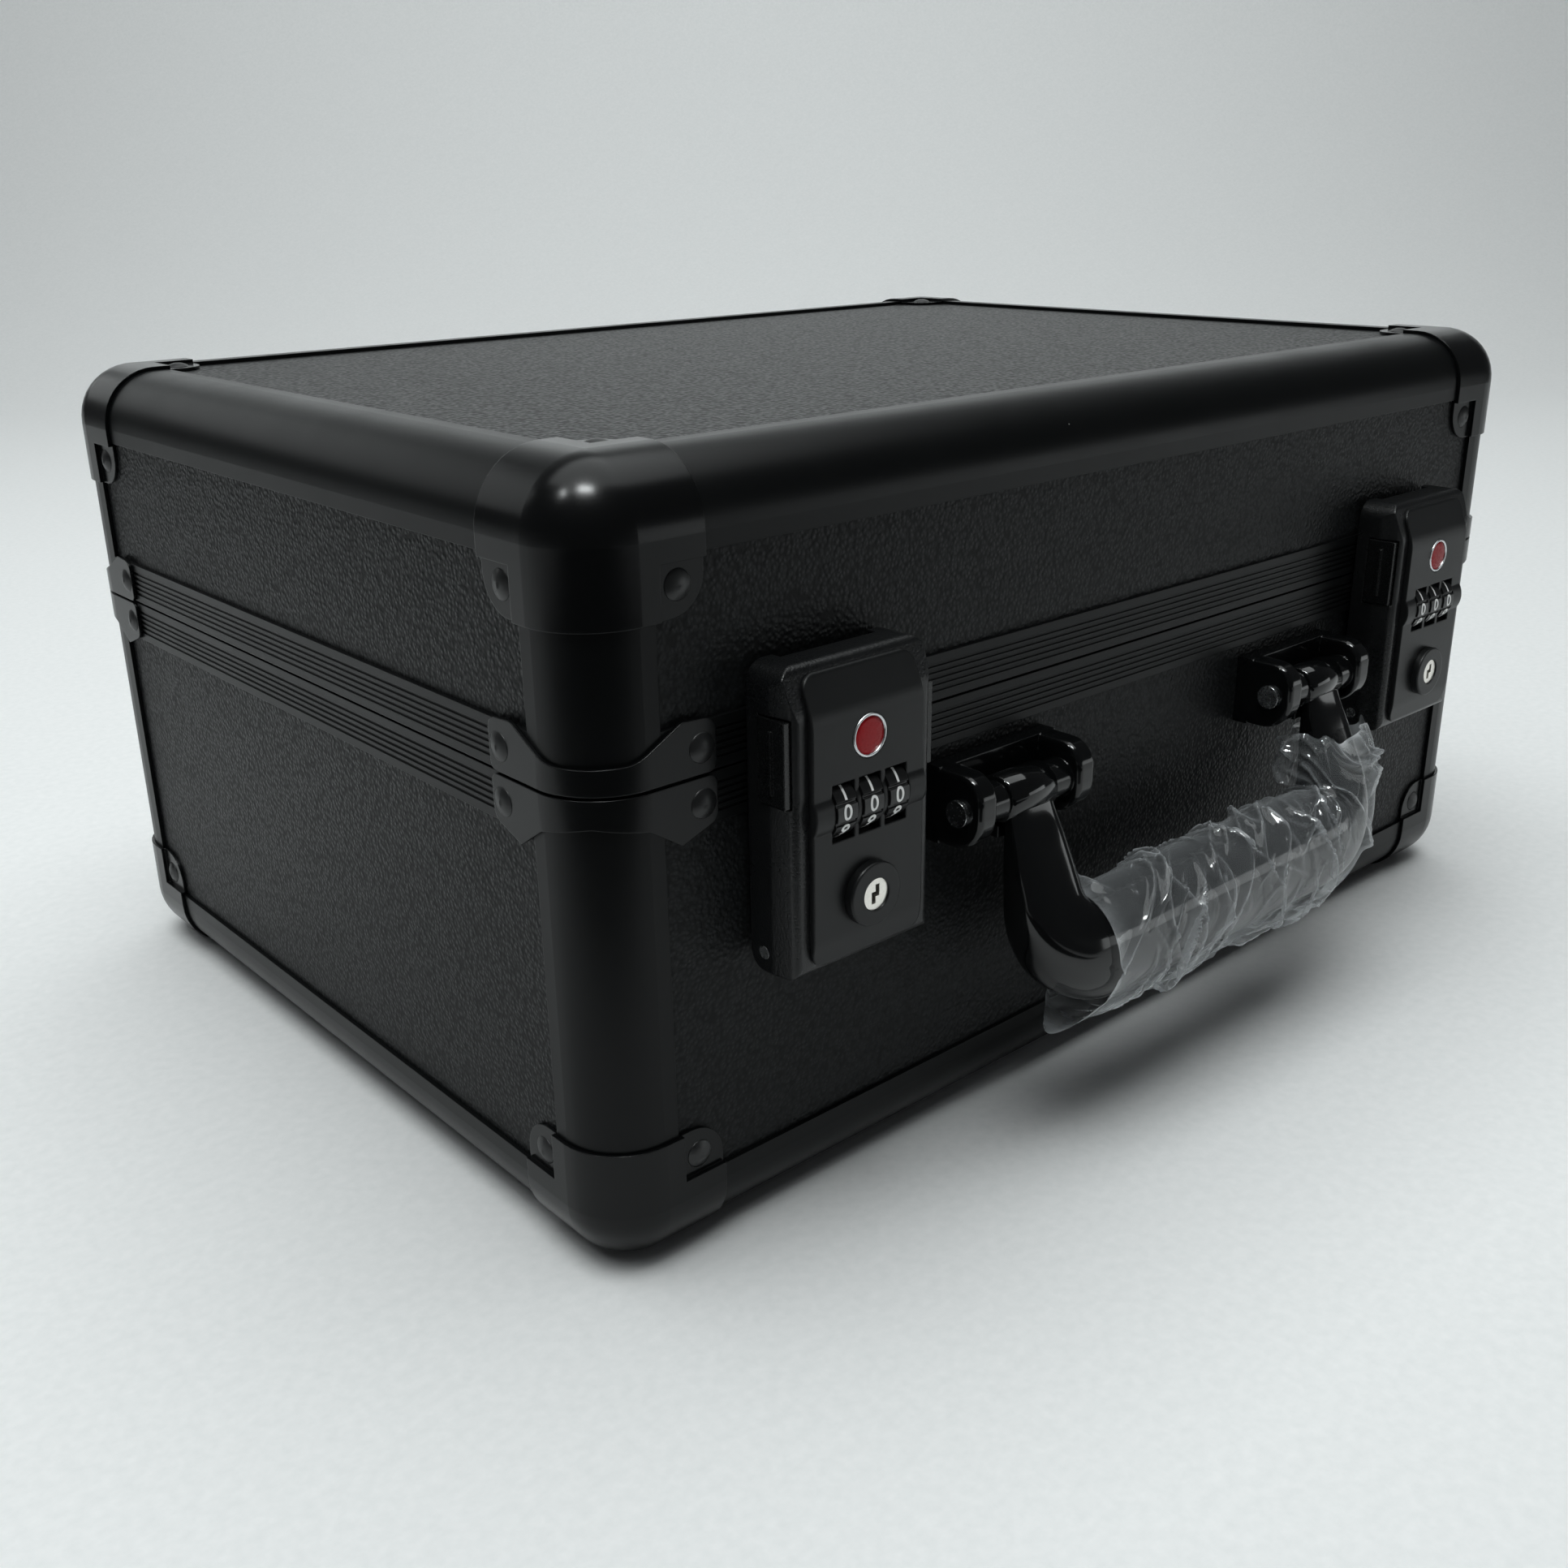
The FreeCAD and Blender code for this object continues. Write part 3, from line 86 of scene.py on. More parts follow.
class NodeDesk:
    """Places and wires the nodes of one shader tree."""

    def __init__(self, tree: bpy.types.NodeTree) -> None:
        """Start on a tree.

        Args:
            tree: Node tree of a material or of a node group.
        """
        self.tree = tree

    def add(self, kind: str, **settings: object) -> bpy.types.Node:
        """Place a node.

        Args:
            kind: Blender's type name of the node, without its ShaderNode prefix.
            settings: Properties of the node, set by name.

        Returns:
            The new node.
        """
        node = self.tree.nodes.new("ShaderNode" + kind)
        for name, value in settings.items():
            setattr(node, name, value)
        return node

    def feed(self, node: bpy.types.Node, **values: object) -> bpy.types.Node:
        """Fill a node's inputs with numbers or with other nodes' outputs.

        Args:
            node: Node whose inputs are filled.
            values: Input names, with underscores for spaces, and what each one gets.

        Returns:
            The same node.
        """
        for name, value in values.items():
            socket = node.inputs[name.replace("_", " ")]
            if isinstance(value, bpy.types.NodeSocket):
                self.tree.links.new(value, socket)
            else:
                socket.default_value = value
        return node

    def math(self, operation: str, first: object, second: object = 0.0) -> bpy.types.NodeSocket:
        """Work out one number from two.

        Args:
            operation: Name of the Math node's operation.
            first: Number or socket.
            second: Number or socket.

        Returns:
            The socket that holds the result.
        """
        node = self.add("Math", operation=operation)
        for socket, value in zip(node.inputs, (first, second)):
            if isinstance(value, bpy.types.NodeSocket):
                self.tree.links.new(value, socket)
            else:
                socket.default_value = value
        return node.outputs[0]

    def remap(
        self, value: object, low: float, high: float, to_low: float, to_high: float
    ) -> bpy.types.NodeSocket:
        """Stretch a value from one range to another.

        Args:
            value: Socket to stretch.
            low: Value that becomes to_low.
            high: Value that becomes to_high.
            to_low: Lower end of the result.
            to_high: Upper end of the result.

        Returns:
            The socket that holds the stretched value.
        """
        node = self.add("MapRange", clamp=True)
        self.feed(node, Value=value, From_Min=low, From_Max=high, To_Min=to_low, To_Max=to_high)
        return node.outputs[0]


class Effect(Enum):
    """Surface effects that several finishes share, each built once as a node group."""

    PEBBLE = "pebble_grain"
    SPECKLE = "fine_speckle"
    DUST = "settled_dust"

    def group(self) -> bpy.types.NodeTree:
        """Return the effect's node group, building it the first time."""
        found = bpy.data.node_groups.get(self.value)
        if found:
            return found
        tree = bpy.data.node_groups.new(self.value, "ShaderNodeTree")
        builders = {Effect.PEBBLE: build_pebble, Effect.SPECKLE: build_speckle, Effect.DUST: build_dust}
        builders[self](tree)
        return tree


def open_group(tree: bpy.types.NodeTree, inputs: dict[str, float], outputs: tuple[str, ...]) -> tuple:
    """Give a node group its sockets.

    Args:
        tree: The empty group.
        inputs: Names of number inputs with their usual values; a Vector input is always added.
        outputs: Names of number outputs.

    Returns:
        The group's desk, its input node and its output node.
    """
    tree.interface.new_socket("Vector", in_out="INPUT", socket_type="NodeSocketVector")
    for name, value in inputs.items():
        socket = tree.interface.new_socket(name, in_out="INPUT", socket_type="NodeSocketFloat")
        socket.default_value = value
    for name in outputs:
        tree.interface.new_socket(name, in_out="OUTPUT", socket_type="NodeSocketFloat")
    desk = NodeDesk(tree)
    entry = tree.nodes.new("NodeGroupInput")
    result = tree.nodes.new("NodeGroupOutput")
    return desk, entry, result


def build_pebble(tree: bpy.types.NodeTree) -> None:
    """Build the pebbled grain of moulded sheet: rounded bumps with soft valleys.

    Args:
        tree: The empty group.
    """
    desk, entry, result = open_group(tree, {"Scale": 800.0, "Warp": 0.0006}, ("Height", "Shade"))
    drift = desk.add("TexNoise", noise_dimensions="3D")
    desk.feed(drift, Vector=entry.outputs["Vector"], Scale=420.0, Detail=2.0)
    centred = desk.add("VectorMath", operation="SUBTRACT")
    tree.links.new(drift.outputs["Color"], centred.inputs[0])
    centred.inputs[1].default_value = (0.5, 0.5, 0.5)
    shift = desk.add("VectorMath", operation="SCALE")
    tree.links.new(centred.outputs[0], shift.inputs[0])
    tree.links.new(entry.outputs["Warp"], shift.inputs["Scale"])
    warped = desk.add("VectorMath", operation="ADD")
    tree.links.new(entry.outputs["Vector"], warped.inputs[0])
    tree.links.new(shift.outputs[0], warped.inputs[1])
    cells = desk.add("TexVoronoi", voronoi_dimensions="3D", feature="SMOOTH_F1")
    desk.feed(cells, Vector=warped.outputs[0], Scale=entry.outputs["Scale"], Smoothness=0.6)
    bumps = desk.remap(cells.outputs["Distance"], 0.1, 0.75, 1.0, 0.0)
    broad = desk.add("TexNoise", noise_dimensions="3D")
    desk.feed(broad, Vector=entry.outputs["Vector"], Scale=160.0, Detail=3.0)
    uneven = desk.remap(broad.outputs["Fac"], 0.3, 0.7, 0.75, 1.0)
    tree.links.new(desk.math("MULTIPLY", bumps, uneven), result.inputs["Height"])
    tree.links.new(bumps, result.inputs["Shade"])


def build_speckle(tree: bpy.types.NodeTree) -> None:
    """Build a fine even texture, used for gloss that breaks up and for sprayed coats.

    Args:
        tree: The empty group.
    """
    desk, entry, result = open_group(tree, {"Scale": 3000.0, "Low": 0.3, "High": 0.4}, ("Value", "Height"))
    fine = desk.add("TexNoise", noise_dimensions="3D")
    desk.feed(fine, Vector=entry.outputs["Vector"], Scale=entry.outputs["Scale"], Detail=3.0, Roughness=0.6)
    broad = desk.add("TexNoise", noise_dimensions="3D")
    desk.feed(broad, Vector=entry.outputs["Vector"], Scale=35.0, Detail=4.0, Roughness=0.55)
    total = desk.math("ADD", fine.outputs["Fac"], broad.outputs["Fac"])
    blended = desk.math("MULTIPLY", total, 0.5)
    span = desk.add("MapRange", clamp=True)
    desk.feed(span, Value=blended, From_Min=0.35, From_Max=0.65)
    desk.feed(span, To_Min=entry.outputs["Low"], To_Max=entry.outputs["High"])
    tree.links.new(span.outputs[0], result.inputs["Value"])
    tree.links.new(fine.outputs["Fac"], result.inputs["Height"])


def build_dust(tree: bpy.types.NodeTree) -> None:
    """Build sparse pale specks of dust.

    Args:
        tree: The empty group.
    """
    desk, entry, result = open_group(tree, {"Spacing": 160.0, "Amount": 0.05}, ("Mask",))
    cells = desk.add("TexVoronoi", voronoi_dimensions="3D", feature="F1")
    desk.feed(cells, Vector=entry.outputs["Vector"], Scale=entry.outputs["Spacing"])
    spot = desk.math("LESS_THAN", cells.outputs["Distance"], 0.045)
    chosen = desk.add("SeparateColor")
    tree.links.new(cells.outputs["Color"], chosen.inputs[0])
    kept = desk.math("LESS_THAN", chosen.outputs[0], entry.outputs["Amount"])
    tree.links.new(desk.math("MULTIPLY", spot, kept), result.inputs["Mask"])


def new_material(name: str) -> tuple[bpy.types.Material, NodeDesk, bpy.types.Node]:
    """Make a material with a bare Principled shader.

    Args:
        name: Name of the material.

    Returns:
        The material, its desk and its Principled node.
    """
    material = bpy.data.materials.new(name)
    material.use_nodes = True
    return material, NodeDesk(material.node_tree), material.node_tree.nodes["Principled BSDF"]


@dataclass(frozen=True)
class CoatedFinish:
    """Opaque finish with a fine texture, uneven gloss and a little dust.

    Attributes:
        name: Name of the material.
        tone: Colour of the surface.
        gloss: Lowest and highest roughness.
        speckle: Fineness of the texture, in repeats per metre.
        relief: Height of the texture in metres.
        metallic: How far the surface is bare metal.
        coat: Weight of a clear coat.
        dust: Share of places that carry a speck of dust.
        sheen: Specular level of the surface, with 0.5 as plain plastic.
        edge: Radius by which edges are shaded round.
        fleck: How much lighter the texture's high spots are.
        coat_gloss: Roughness of the clear coat.
    """

    name: str
    tone: Tone
    gloss: tuple[float, float]
    speckle: float = 2600.0
    relief: float = 0.00001
    metallic: float = 0.0
    coat: float = 0.0
    dust: float = 0.0
    sheen: float = 0.5
    edge: float = 0.0
    fleck: float = 1.35
    coat_gloss: float = 0.12

    def material(self) -> bpy.types.Material:
        """Return the material, building it the first time."""
        found = bpy.data.materials.get(self.name)
        if found:
            return found
        material, desk, shader = new_material(self.name)
        links = material.node_tree.links
        place = desk.add("TexCoord")
        speckle = desk.add("Group", node_tree=Effect.SPECKLE.group())
        desk.feed(
            speckle,
            Vector=place.outputs["Object"],
            Scale=self.speckle,
            Low=self.gloss[0],
            High=self.gloss[1],
        )
        lighter = [min(1.0, self.fleck * c) for c in self.tone] + [1.0]
        shade = desk.add("MixRGB")
        desk.feed(shade, Fac=speckle.outputs["Height"], Color1=(*self.tone, 1.0), Color2=lighter)
        dust = desk.add("Group", node_tree=Effect.DUST.group())
        desk.feed(dust, Vector=place.outputs["Object"], Amount=self.dust)
        dusted = desk.add("MixRGB")
        desk.feed(dusted, Fac=dust.outputs["Mask"], Color1=shade.outputs[0], Color2=(*DUST_TONE, 1.0))
        bump = desk.add("Bump")
        desk.feed(bump, Height=speckle.outputs["Height"], Distance=self.relief, Strength=1.0)
        if self.edge:
            rounded = desk.add("Bevel", samples=6)
            desk.feed(rounded, Radius=self.edge)
            links.new(rounded.outputs[0], bump.inputs["Normal"])
        links.new(dusted.outputs[0], shader.inputs["Base Color"])
        links.new(speckle.outputs["Value"], shader.inputs["Roughness"])
        links.new(bump.outputs[0], shader.inputs["Normal"])
        desk.feed(shader, Metallic=self.metallic, Coat_Weight=self.coat, Coat_Roughness=self.coat_gloss)
        desk.feed(shader, Specular_IOR_Level=self.sheen)
        return material


@dataclass(frozen=True)
class GrainFinish:
    """Pebble-grained moulded sheet, with painted shade in the grain's valleys and a painted highlight on its
    bumps' tops.

    Attributes:
        name: Name of the material.
        tone: Colour of the valleys, darkened as painted shade.
        crest: Colour of the bumps' tops, lightened as a painted highlight.
        gloss: Roughness of the bumps and of the valleys.
        scale: Bumps per metre.
        relief: Height of the bumps in metres.
        sheen: Specular level of the surface, with 0.5 as plain plastic.
    """

    name: str
    tone: Tone
    crest: Tone
    gloss: tuple[float, float]
    scale: float
    relief: float
    sheen: float

    def material(self) -> bpy.types.Material:
        """Return the material, building it the first time."""
        found = bpy.data.materials.get(self.name)
        if found:
            return found
        material, desk, shader = new_material(self.name)
        links = material.node_tree.links
        place = desk.add("TexCoord")
        grain = desk.add("Group", node_tree=Effect.PEBBLE.group())
        desk.feed(grain, Vector=place.outputs["Object"], Scale=self.scale)
        # Painted shade and highlight: the grain's valleys get the darker tone and the bumps' tops the
        # lighter crest colour.
        shade = desk.add("MixRGB")
        desk.feed(shade, Fac=grain.outputs["Shade"], Color1=(*self.tone, 1.0), Color2=(*self.crest, 1.0))
        rough = desk.remap(grain.outputs["Shade"], 0.0, 1.0, self.gloss[1], self.gloss[0])
        bump = desk.add("Bump")
        desk.feed(bump, Height=grain.outputs["Height"], Distance=self.relief, Strength=1.0)
        links.new(shade.outputs[0], shader.inputs["Base Color"])
        links.new(rough, shader.inputs["Roughness"])
        links.new(bump.outputs[0], shader.inputs["Normal"])
        desk.feed(shader, Specular_IOR_Level=self.sheen)
        return material


@dataclass(frozen=True)
class FilmFinish:
    """Clear crinkled film that looks milky edge-on and white along its creases.

    Attributes:
        name: Name of the material.
        veil: Opacity of film seen square on.
        haze: Opacity added where the film is seen edge-on.
        crease: Opacity added by a sharp crease.
        most: Greatest opacity.
        ripple: Height of the film's fine ripple in metres.
    """

    name: str
    veil: float
    haze: float
    crease: float
    most: float = 0.9
    ripple: float = 0.0006

    def material(self) -> bpy.types.Material:
        """Return the material, building it the first time."""
        found = bpy.data.materials.get(self.name)
        if found:
            return found
        material, desk, shader = new_material(self.name)
        links = material.node_tree.links
        mark = desk.add("Attribute", attribute_name="crease")
        place = desk.add("TexCoord")
        streak = desk.add("TexNoise", noise_dimensions="3D")
        desk.feed(streak, Vector=place.outputs["Object"], Scale=90.0, Detail=3.0, Roughness=0.5)
        patchy = desk.remap(streak.outputs["Fac"], 0.35, 0.65, 0.3, 1.3)
        view = desk.add("LayerWeight")
        desk.feed(view, Blend=0.5)
        slanted = desk.remap(view.outputs["Facing"], 0.35, 1.0, 0.0, 1.0)
        hazy = desk.math("MULTIPLY", desk.math("POWER", slanted, 2.0), self.haze)
        white = desk.math("MULTIPLY", desk.math("MULTIPLY", mark.outputs["Fac"], patchy), self.crease)
        opacity = desk.math("ADD", desk.math("ADD", hazy, white), self.veil)
        links.new(desk.math("MINIMUM", opacity, self.most), shader.inputs["Alpha"])
        bump = desk.add("Bump")
        desk.feed(bump, Height=streak.outputs["Fac"], Distance=self.ripple, Strength=1.0)
        links.new(bump.outputs[0], shader.inputs["Normal"])
        desk.feed(shader, Base_Color=(*FILM_TONE, 1.0), Roughness=0.09, IOR=1.9, Specular_IOR_Level=1.0)
        return material


# The panels' valleys are painted darker as painted shade, and their bumps' tops lighter as a painted
# highlight.
PANEL = GrainFinish(
    "grained_sheet", (0.005, 0.0054, 0.0056), (0.013, 0.014, 0.0146), (0.3, 0.5), 900.0, 0.00016, sheen=0.13
)
PROFILE = CoatedFinish(
    "anodised_edge", (0.0028, 0.0032, 0.0034), (0.3, 0.37), 3200.0, 0.000004,
    dust=0.03, sheen=0.16, edge=0.25 * MM,
)
CAP = CoatedFinish(
    "enamelled_cap", (0.003, 0.0033, 0.0035), (0.2, 0.26), 2200.0, 0.000003,
    dust=0.03, sheen=0.22, edge=0.4 * MM,
)
RIVET = CoatedFinish(
    "enamelled_rivet", (0.005, 0.0054, 0.0056), (0.36, 0.44), 2400.0, 0.000005, sheen=0.5, edge=0.25 * MM
)
LINING = CoatedFinish("flocked_board", (0.02, 0.02, 0.022), (0.85, 0.95), 1800.0, 0.00012)
STEEL = CoatedFinish(
    "bright_steel", (0.56, 0.57, 0.58), (0.2, 0.34), 1500.0, 0.000004, metallic=1.0, edge=0.2 * MM
)
ZINC = CoatedFinish("zinc_plate", (0.5, 0.51, 0.53), (0.3, 0.46), 900.0, 0.000006, metallic=1.0)
HANDLE = CoatedFinish(
    "glossy_moulding", (0.003, 0.0033, 0.0035), (0.06, 0.1), 1800.0, 0.000002,
    coat=0.2, dust=0.02, sheen=0.4,
)
BRACKET = CoatedFinish(
    "bracket_moulding", (0.003, 0.0033, 0.0035), (0.08, 0.13), 1800.0, 0.000002,
    dust=0.03, sheen=0.4, edge=0.6 * MM,
)
LOCK_BODY = CoatedFinish(
    "spark_coat", (0.005, 0.0054, 0.0058), (0.24, 0.38), 1500.0, 0.00009,
    dust=0.02, sheen=0.42, edge=0.6 * MM,
)
LOCK_FACE = CoatedFinish(
    "satin_enamel", (0.006, 0.0064, 0.0067), (0.32, 0.4), 3400.0, 0.000008,
    dust=0.05, sheen=0.28, edge=0.7 * MM,
)
DIAL = CoatedFinish(
    "dial_black", (0.006, 0.006, 0.0062), (0.26, 0.34), 2600.0, 0.000006, sheen=0.45, edge=0.2 * MM
)
FIGURE = CoatedFinish("figure_white", (0.78, 0.78, 0.76), (0.4, 0.5), 2600.0, 0.000004)
BUTTON = CoatedFinish(
    "button_black", (0.004, 0.0043, 0.0045), (0.22, 0.3), 2400.0, 0.000008, sheen=0.45, edge=0.5 * MM
)
NICKEL = CoatedFinish(
    "key_nickel", (0.74, 0.72, 0.67), (0.3, 0.42), 2000.0, 0.000004, metallic=1.0, edge=0.15 * MM
)
ENAMEL = CoatedFinish("red_enamel", (0.27, 0.004, 0.008), (0.22, 0.3), 1200.0, 0.000004, sheen=0.2)
FILM = FilmFinish("crinkled_film", 0.14, 0.5, 0.5)

SLOT_FINISHES = {
    "panel_plastic": PANEL,
    "profile_metal": PROFILE,
    "cap_metal": CAP,
    "rivet_metal": RIVET,
    "lining_fabric": LINING,
    "hinge_metal": RIVET,
    "pin_metal": STEEL,
    "handle_plastic": HANDLE,
    "bracket_plastic": BRACKET,
    "lock_body": LOCK_BODY,
    "lock_face": LOCK_FACE,
    "dial_plastic": DIAL,
    "button_plastic": BUTTON,
    "key_metal": NICKEL,
    "inner_metal": ZINC,
}


def piece_from(name: str, shape: bmesh.types.BMesh, finish: object, smooth: bool = True) -> bpy.types.Object:
    """Turn a finished shape into an object at the origin.

    Args:
        name: Name of the piece.
        shape: The shape, which is freed.
        finish: Finish whose material the piece gets.
        smooth: Whether its faces are shaded smooth.

    Returns:
        The new object.
    """
    mesh = bpy.data.meshes.new(name)
    for face in shape.faces:
        face.smooth = smooth
    shape.to_mesh(mesh)
    shape.free()
    mesh.materials.append(finish.material())
    piece = bpy.data.objects.new(name, mesh)
    bpy.context.scene.collection.objects.link(piece)
    return piece


def turned(profile: list[tuple[float, float]], centre: Vector, steps: int) -> bmesh.types.BMesh:
    """Spin a profile round an axis that points out of the front.

    Args:
        profile: Points as (radius, distance out of the front), in metres.
        centre: Point on the axis.
        steps: Number of steps in the full turn.

    Returns:
        The closed shape.
    """
    shape = bmesh.new()
    points = [shape.verts.new(centre + Vector((radius, -out, 0.0))) for radius, out in profile]
    edges = [shape.edges.new(pair) for pair in zip(points, points[1:])]
    bmesh.ops.spin(
        shape,
        geom=points + edges,
        cent=centre,
        axis=(0.0, 1.0, 0.0),
        angle=2.0 * math.pi,
        steps=steps,
        use_merge=True,
    )
    bmesh.ops.remove_doubles(shape, verts=shape.verts, dist=WELD)
    bmesh.ops.recalc_face_normals(shape, faces=shape.faces)
    return shape


def unit_tube(around: int, rings: int, capped: bool) -> bmesh.types.BMesh:
    """Make a straight tube of radius 1 that runs from x = 0 to x = 1.

    Args:
        around: Points in one ring.
        rings: Steps along the tube.
        capped: Whether its ends are closed.

    Returns:
        The tube.
    """
    shape = bmesh.new()
    ring = bmesh.ops.create_circle(shape, cap_ends=capped, segments=around, radius=1.0)["verts"]
    bmesh.ops.rotate(shape, verts=ring, matrix=Matrix.Rotation(math.pi / 2, 3, "Y"))
    edges = list(shape.edges)
    for _ in range(rings):
        grown = bmesh.ops.extrude_edge_only(shape, edges=edges)["geom"]
        verts = [g for g in grown if isinstance(g, bmesh.types.BMVert)]
        edges = [g for g in grown if isinstance(g, bmesh.types.BMEdge)]
        bmesh.ops.translate(shape, verts=verts, vec=(1.0 / rings, 0.0, 0.0))
    if capped:
        bmesh.ops.edgeloop_fill(shape, edges=edges)
    return shape


@dataclass
class Case:
    """Panels, profiles, caps and every other node that keeps its construction shape.

    Attributes:
        nodes: Construction nodes by name.
        record: The part's record, which names each node's material slot.
    """

    nodes: dict[str, bpy.types.Object]
    record: dict

    def dress(self) -> None:
        """Give every construction node the finish of its material slot."""
        for entry in self.record["subparts"]:
            finish = SLOT_FINISHES.get(entry["material_slot"])
            if finish is None:
                continue
            node = self.nodes[entry["node"]]
            node.data.materials.clear()
            node.data.materials.append(finish.material())
            LOG.info("dressed %s with %s", node.name, finish.name)


@dataclass
class Lock:
    """One combination lock: the figures on its dials and its enamel badge.

    Attributes:
        side: Which lock it is.
        figure_height: Height of a figure.
        figure_size: Size of the type for a figure of that height, as a multiple of it.
        figure_weight: How far a figure's strokes are thickened, as a share of its height.
        figure_step: Longest edge that is wrapped unbroken, as a share of its height.
        figure_lift: How far the figures stand off the dial.
        figure_depth: Thickness of the paint of a figure.
        badge_radius: Outer radius of the badge.
        badge_rim: Width of the badge's bright rim.
        badge_rise: Height of the rim above the seat.
        badge_break: Size of the rim's broken edges.
        dome: The enamel's curve, as shares of its radius and heights in millimetres.
        badge_depth: Depth of the seat that the badge lies in.
        badge_up: Height of the badge above the dials' axis.
        face_out: How far the face plate's front stands before the dials' axis.
    """

    side: Side
    figure_height: float = 3.8 * MM
    figure_size: float = 1.38
    figure_weight: float = 0.02
    figure_step: float = 0.3
    figure_lift: float = 0.04 * MM
    figure_depth: float = 0.12 * MM
    badge_radius: float = 5.1 * MM
    badge_rim: float = 0.7 * MM
    badge_rise: float = 0.75 * MM
    badge_break: float = 0.2 * MM
    dome: tuple[tuple[float, float], ...] = ((1.0, 0.4), (0.8, 0.58), (0.5, 0.7), (0.2, 0.75), (0.0, 0.76))
    badge_depth: float = 0.5 * MM
    badge_up: float = 15.9 * MM
    face_out: float = 6.0 * MM

    def figure(self, digit: int, middle: Vector, radius: float) -> bmesh.types.BMesh:
        """Shape one figure and wrap it round its dial.

        Args:
            digit: The figure.
            middle: Centre of the dial.
            radius: Radius of the dial.

        Returns:
            The wrapped figure.
        """
        curve = bpy.data.curves.new("figure", "FONT")
        curve.body = str(digit)
        curve.size = self.figure_height * self.figure_size
        curve.align_x = "CENTER"
        curve.align_y = "CENTER"
        curve.offset = self.figure_weight * self.figure_height
        writing = bpy.data.objects.new("figure", curve)
        shape = bmesh.new()
        mesh = bpy.data.meshes.new_from_object(writing)
        shape.from_mesh(mesh)
        bpy.data.meshes.remove(mesh)
        bpy.data.objects.remove(writing)
        bpy.data.curves.remove(curve)
        bmesh.ops.remove_doubles(shape, verts=shape.verts, dist=1e-7)
        bmesh.ops.triangulate(shape, faces=shape.faces)
        for _ in range(2):
            longest = self.figure_step * self.figure_height
            long_edges = [e for e in shape.edges if e.calc_length() > longest]
            bmesh.ops.subdivide_edges(shape, edges=long_edges, cuts=1)
            bmesh.ops.triangulate(shape, faces=shape.faces)
        rise = math.radians(360.0 / DIGITS * digit)
        reach = radius + self.figure_lift
        for vert in shape.verts:
            angle = rise + vert.co.y / radius
            vert.co = middle + Vector((vert.co.x, -reach * math.cos(angle), reach * math.sin(angle)))
        bmesh.ops.recalc_face_normals(shape, faces=shape.faces)
        return shape

    def build_figures(self, index: int) -> bpy.types.Object:
        """Put the figures round one dial.

        Args:
            index: Number of the dial, from 1 at the left.

        Returns:
            The ring of figures.
        """
        node = f"{self.side.value}_lock_dial_{index}"
        low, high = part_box(node)
        middle = (low + high) / 2
        radius = (high.z - low.z) / 2
        ring = bmesh.new()
        for digit in range(DIGITS):
            figure = self.figure(digit, middle, radius)
            mesh = bpy.data.meshes.new("figure")
            figure.to_mesh(mesh)
            figure.free()
            ring.from_mesh(mesh)
            bpy.data.meshes.remove(mesh)
        piece = piece_from(f"{self.side.value}_dial_{index}_figures", ring, FIGURE, smooth=False)
        body = piece.modifiers.new("thickness", "SOLIDIFY")
        body.thickness = self.figure_depth
        body.offset = -1.0
        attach(piece, f"{self.side.value}_dial_{index}")
        return piece

    def build_badge(self) -> list[bpy.types.Object]:
        """Set a plain round enamel badge with a bright rim in its seat on the face plate.

        Returns:
            The enamel and its rim.
        """
        low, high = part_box(f"{self.side.value}_lock_dial_2")
        middle = (low + high) / 2
        seat = middle + Vector((0.0, self.badge_depth - self.face_out, self.badge_up))
        outer = self.badge_radius
        inner = outer - self.badge_rim
        shoulder = self.badge_rise - self.badge_break
        rim_outline = [
            (outer, 0.0),
            (outer, shoulder),
            (outer - self.badge_break, self.badge_rise),
            (inner + self.badge_break, self.badge_rise),
            (inner, shoulder),
            (inner, 0.0),
            (outer, 0.0),
        ]
        dome_curve = [(share * inner, rise * MM) for share, rise in self.dome]
        rim = turned(rim_outline, seat, TURN_STEPS)
        dome = turned([(0.0, 0.0), (inner, 0.0), *dome_curve], seat, TURN_STEPS)
        pieces = [
            piece_from(f"{self.side.value}_badge_rim", rim, STEEL),
            piece_from(f"{self.side.value}_badge_enamel", dome, ENAMEL),
        ]
        for piece, slot in zip(pieces, ("pin_metal", "badge_enamel")):
            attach(piece, f"{self.side.value}_flap")
        return pieces

    def build(self) -> list[bpy.types.Object]:
        """Build the lock's added pieces.

        Returns:
            The figures of its dials and the badge.
        """
        return [self.build_figures(i) for i in (1, 2, 3)] + self.build_badge()


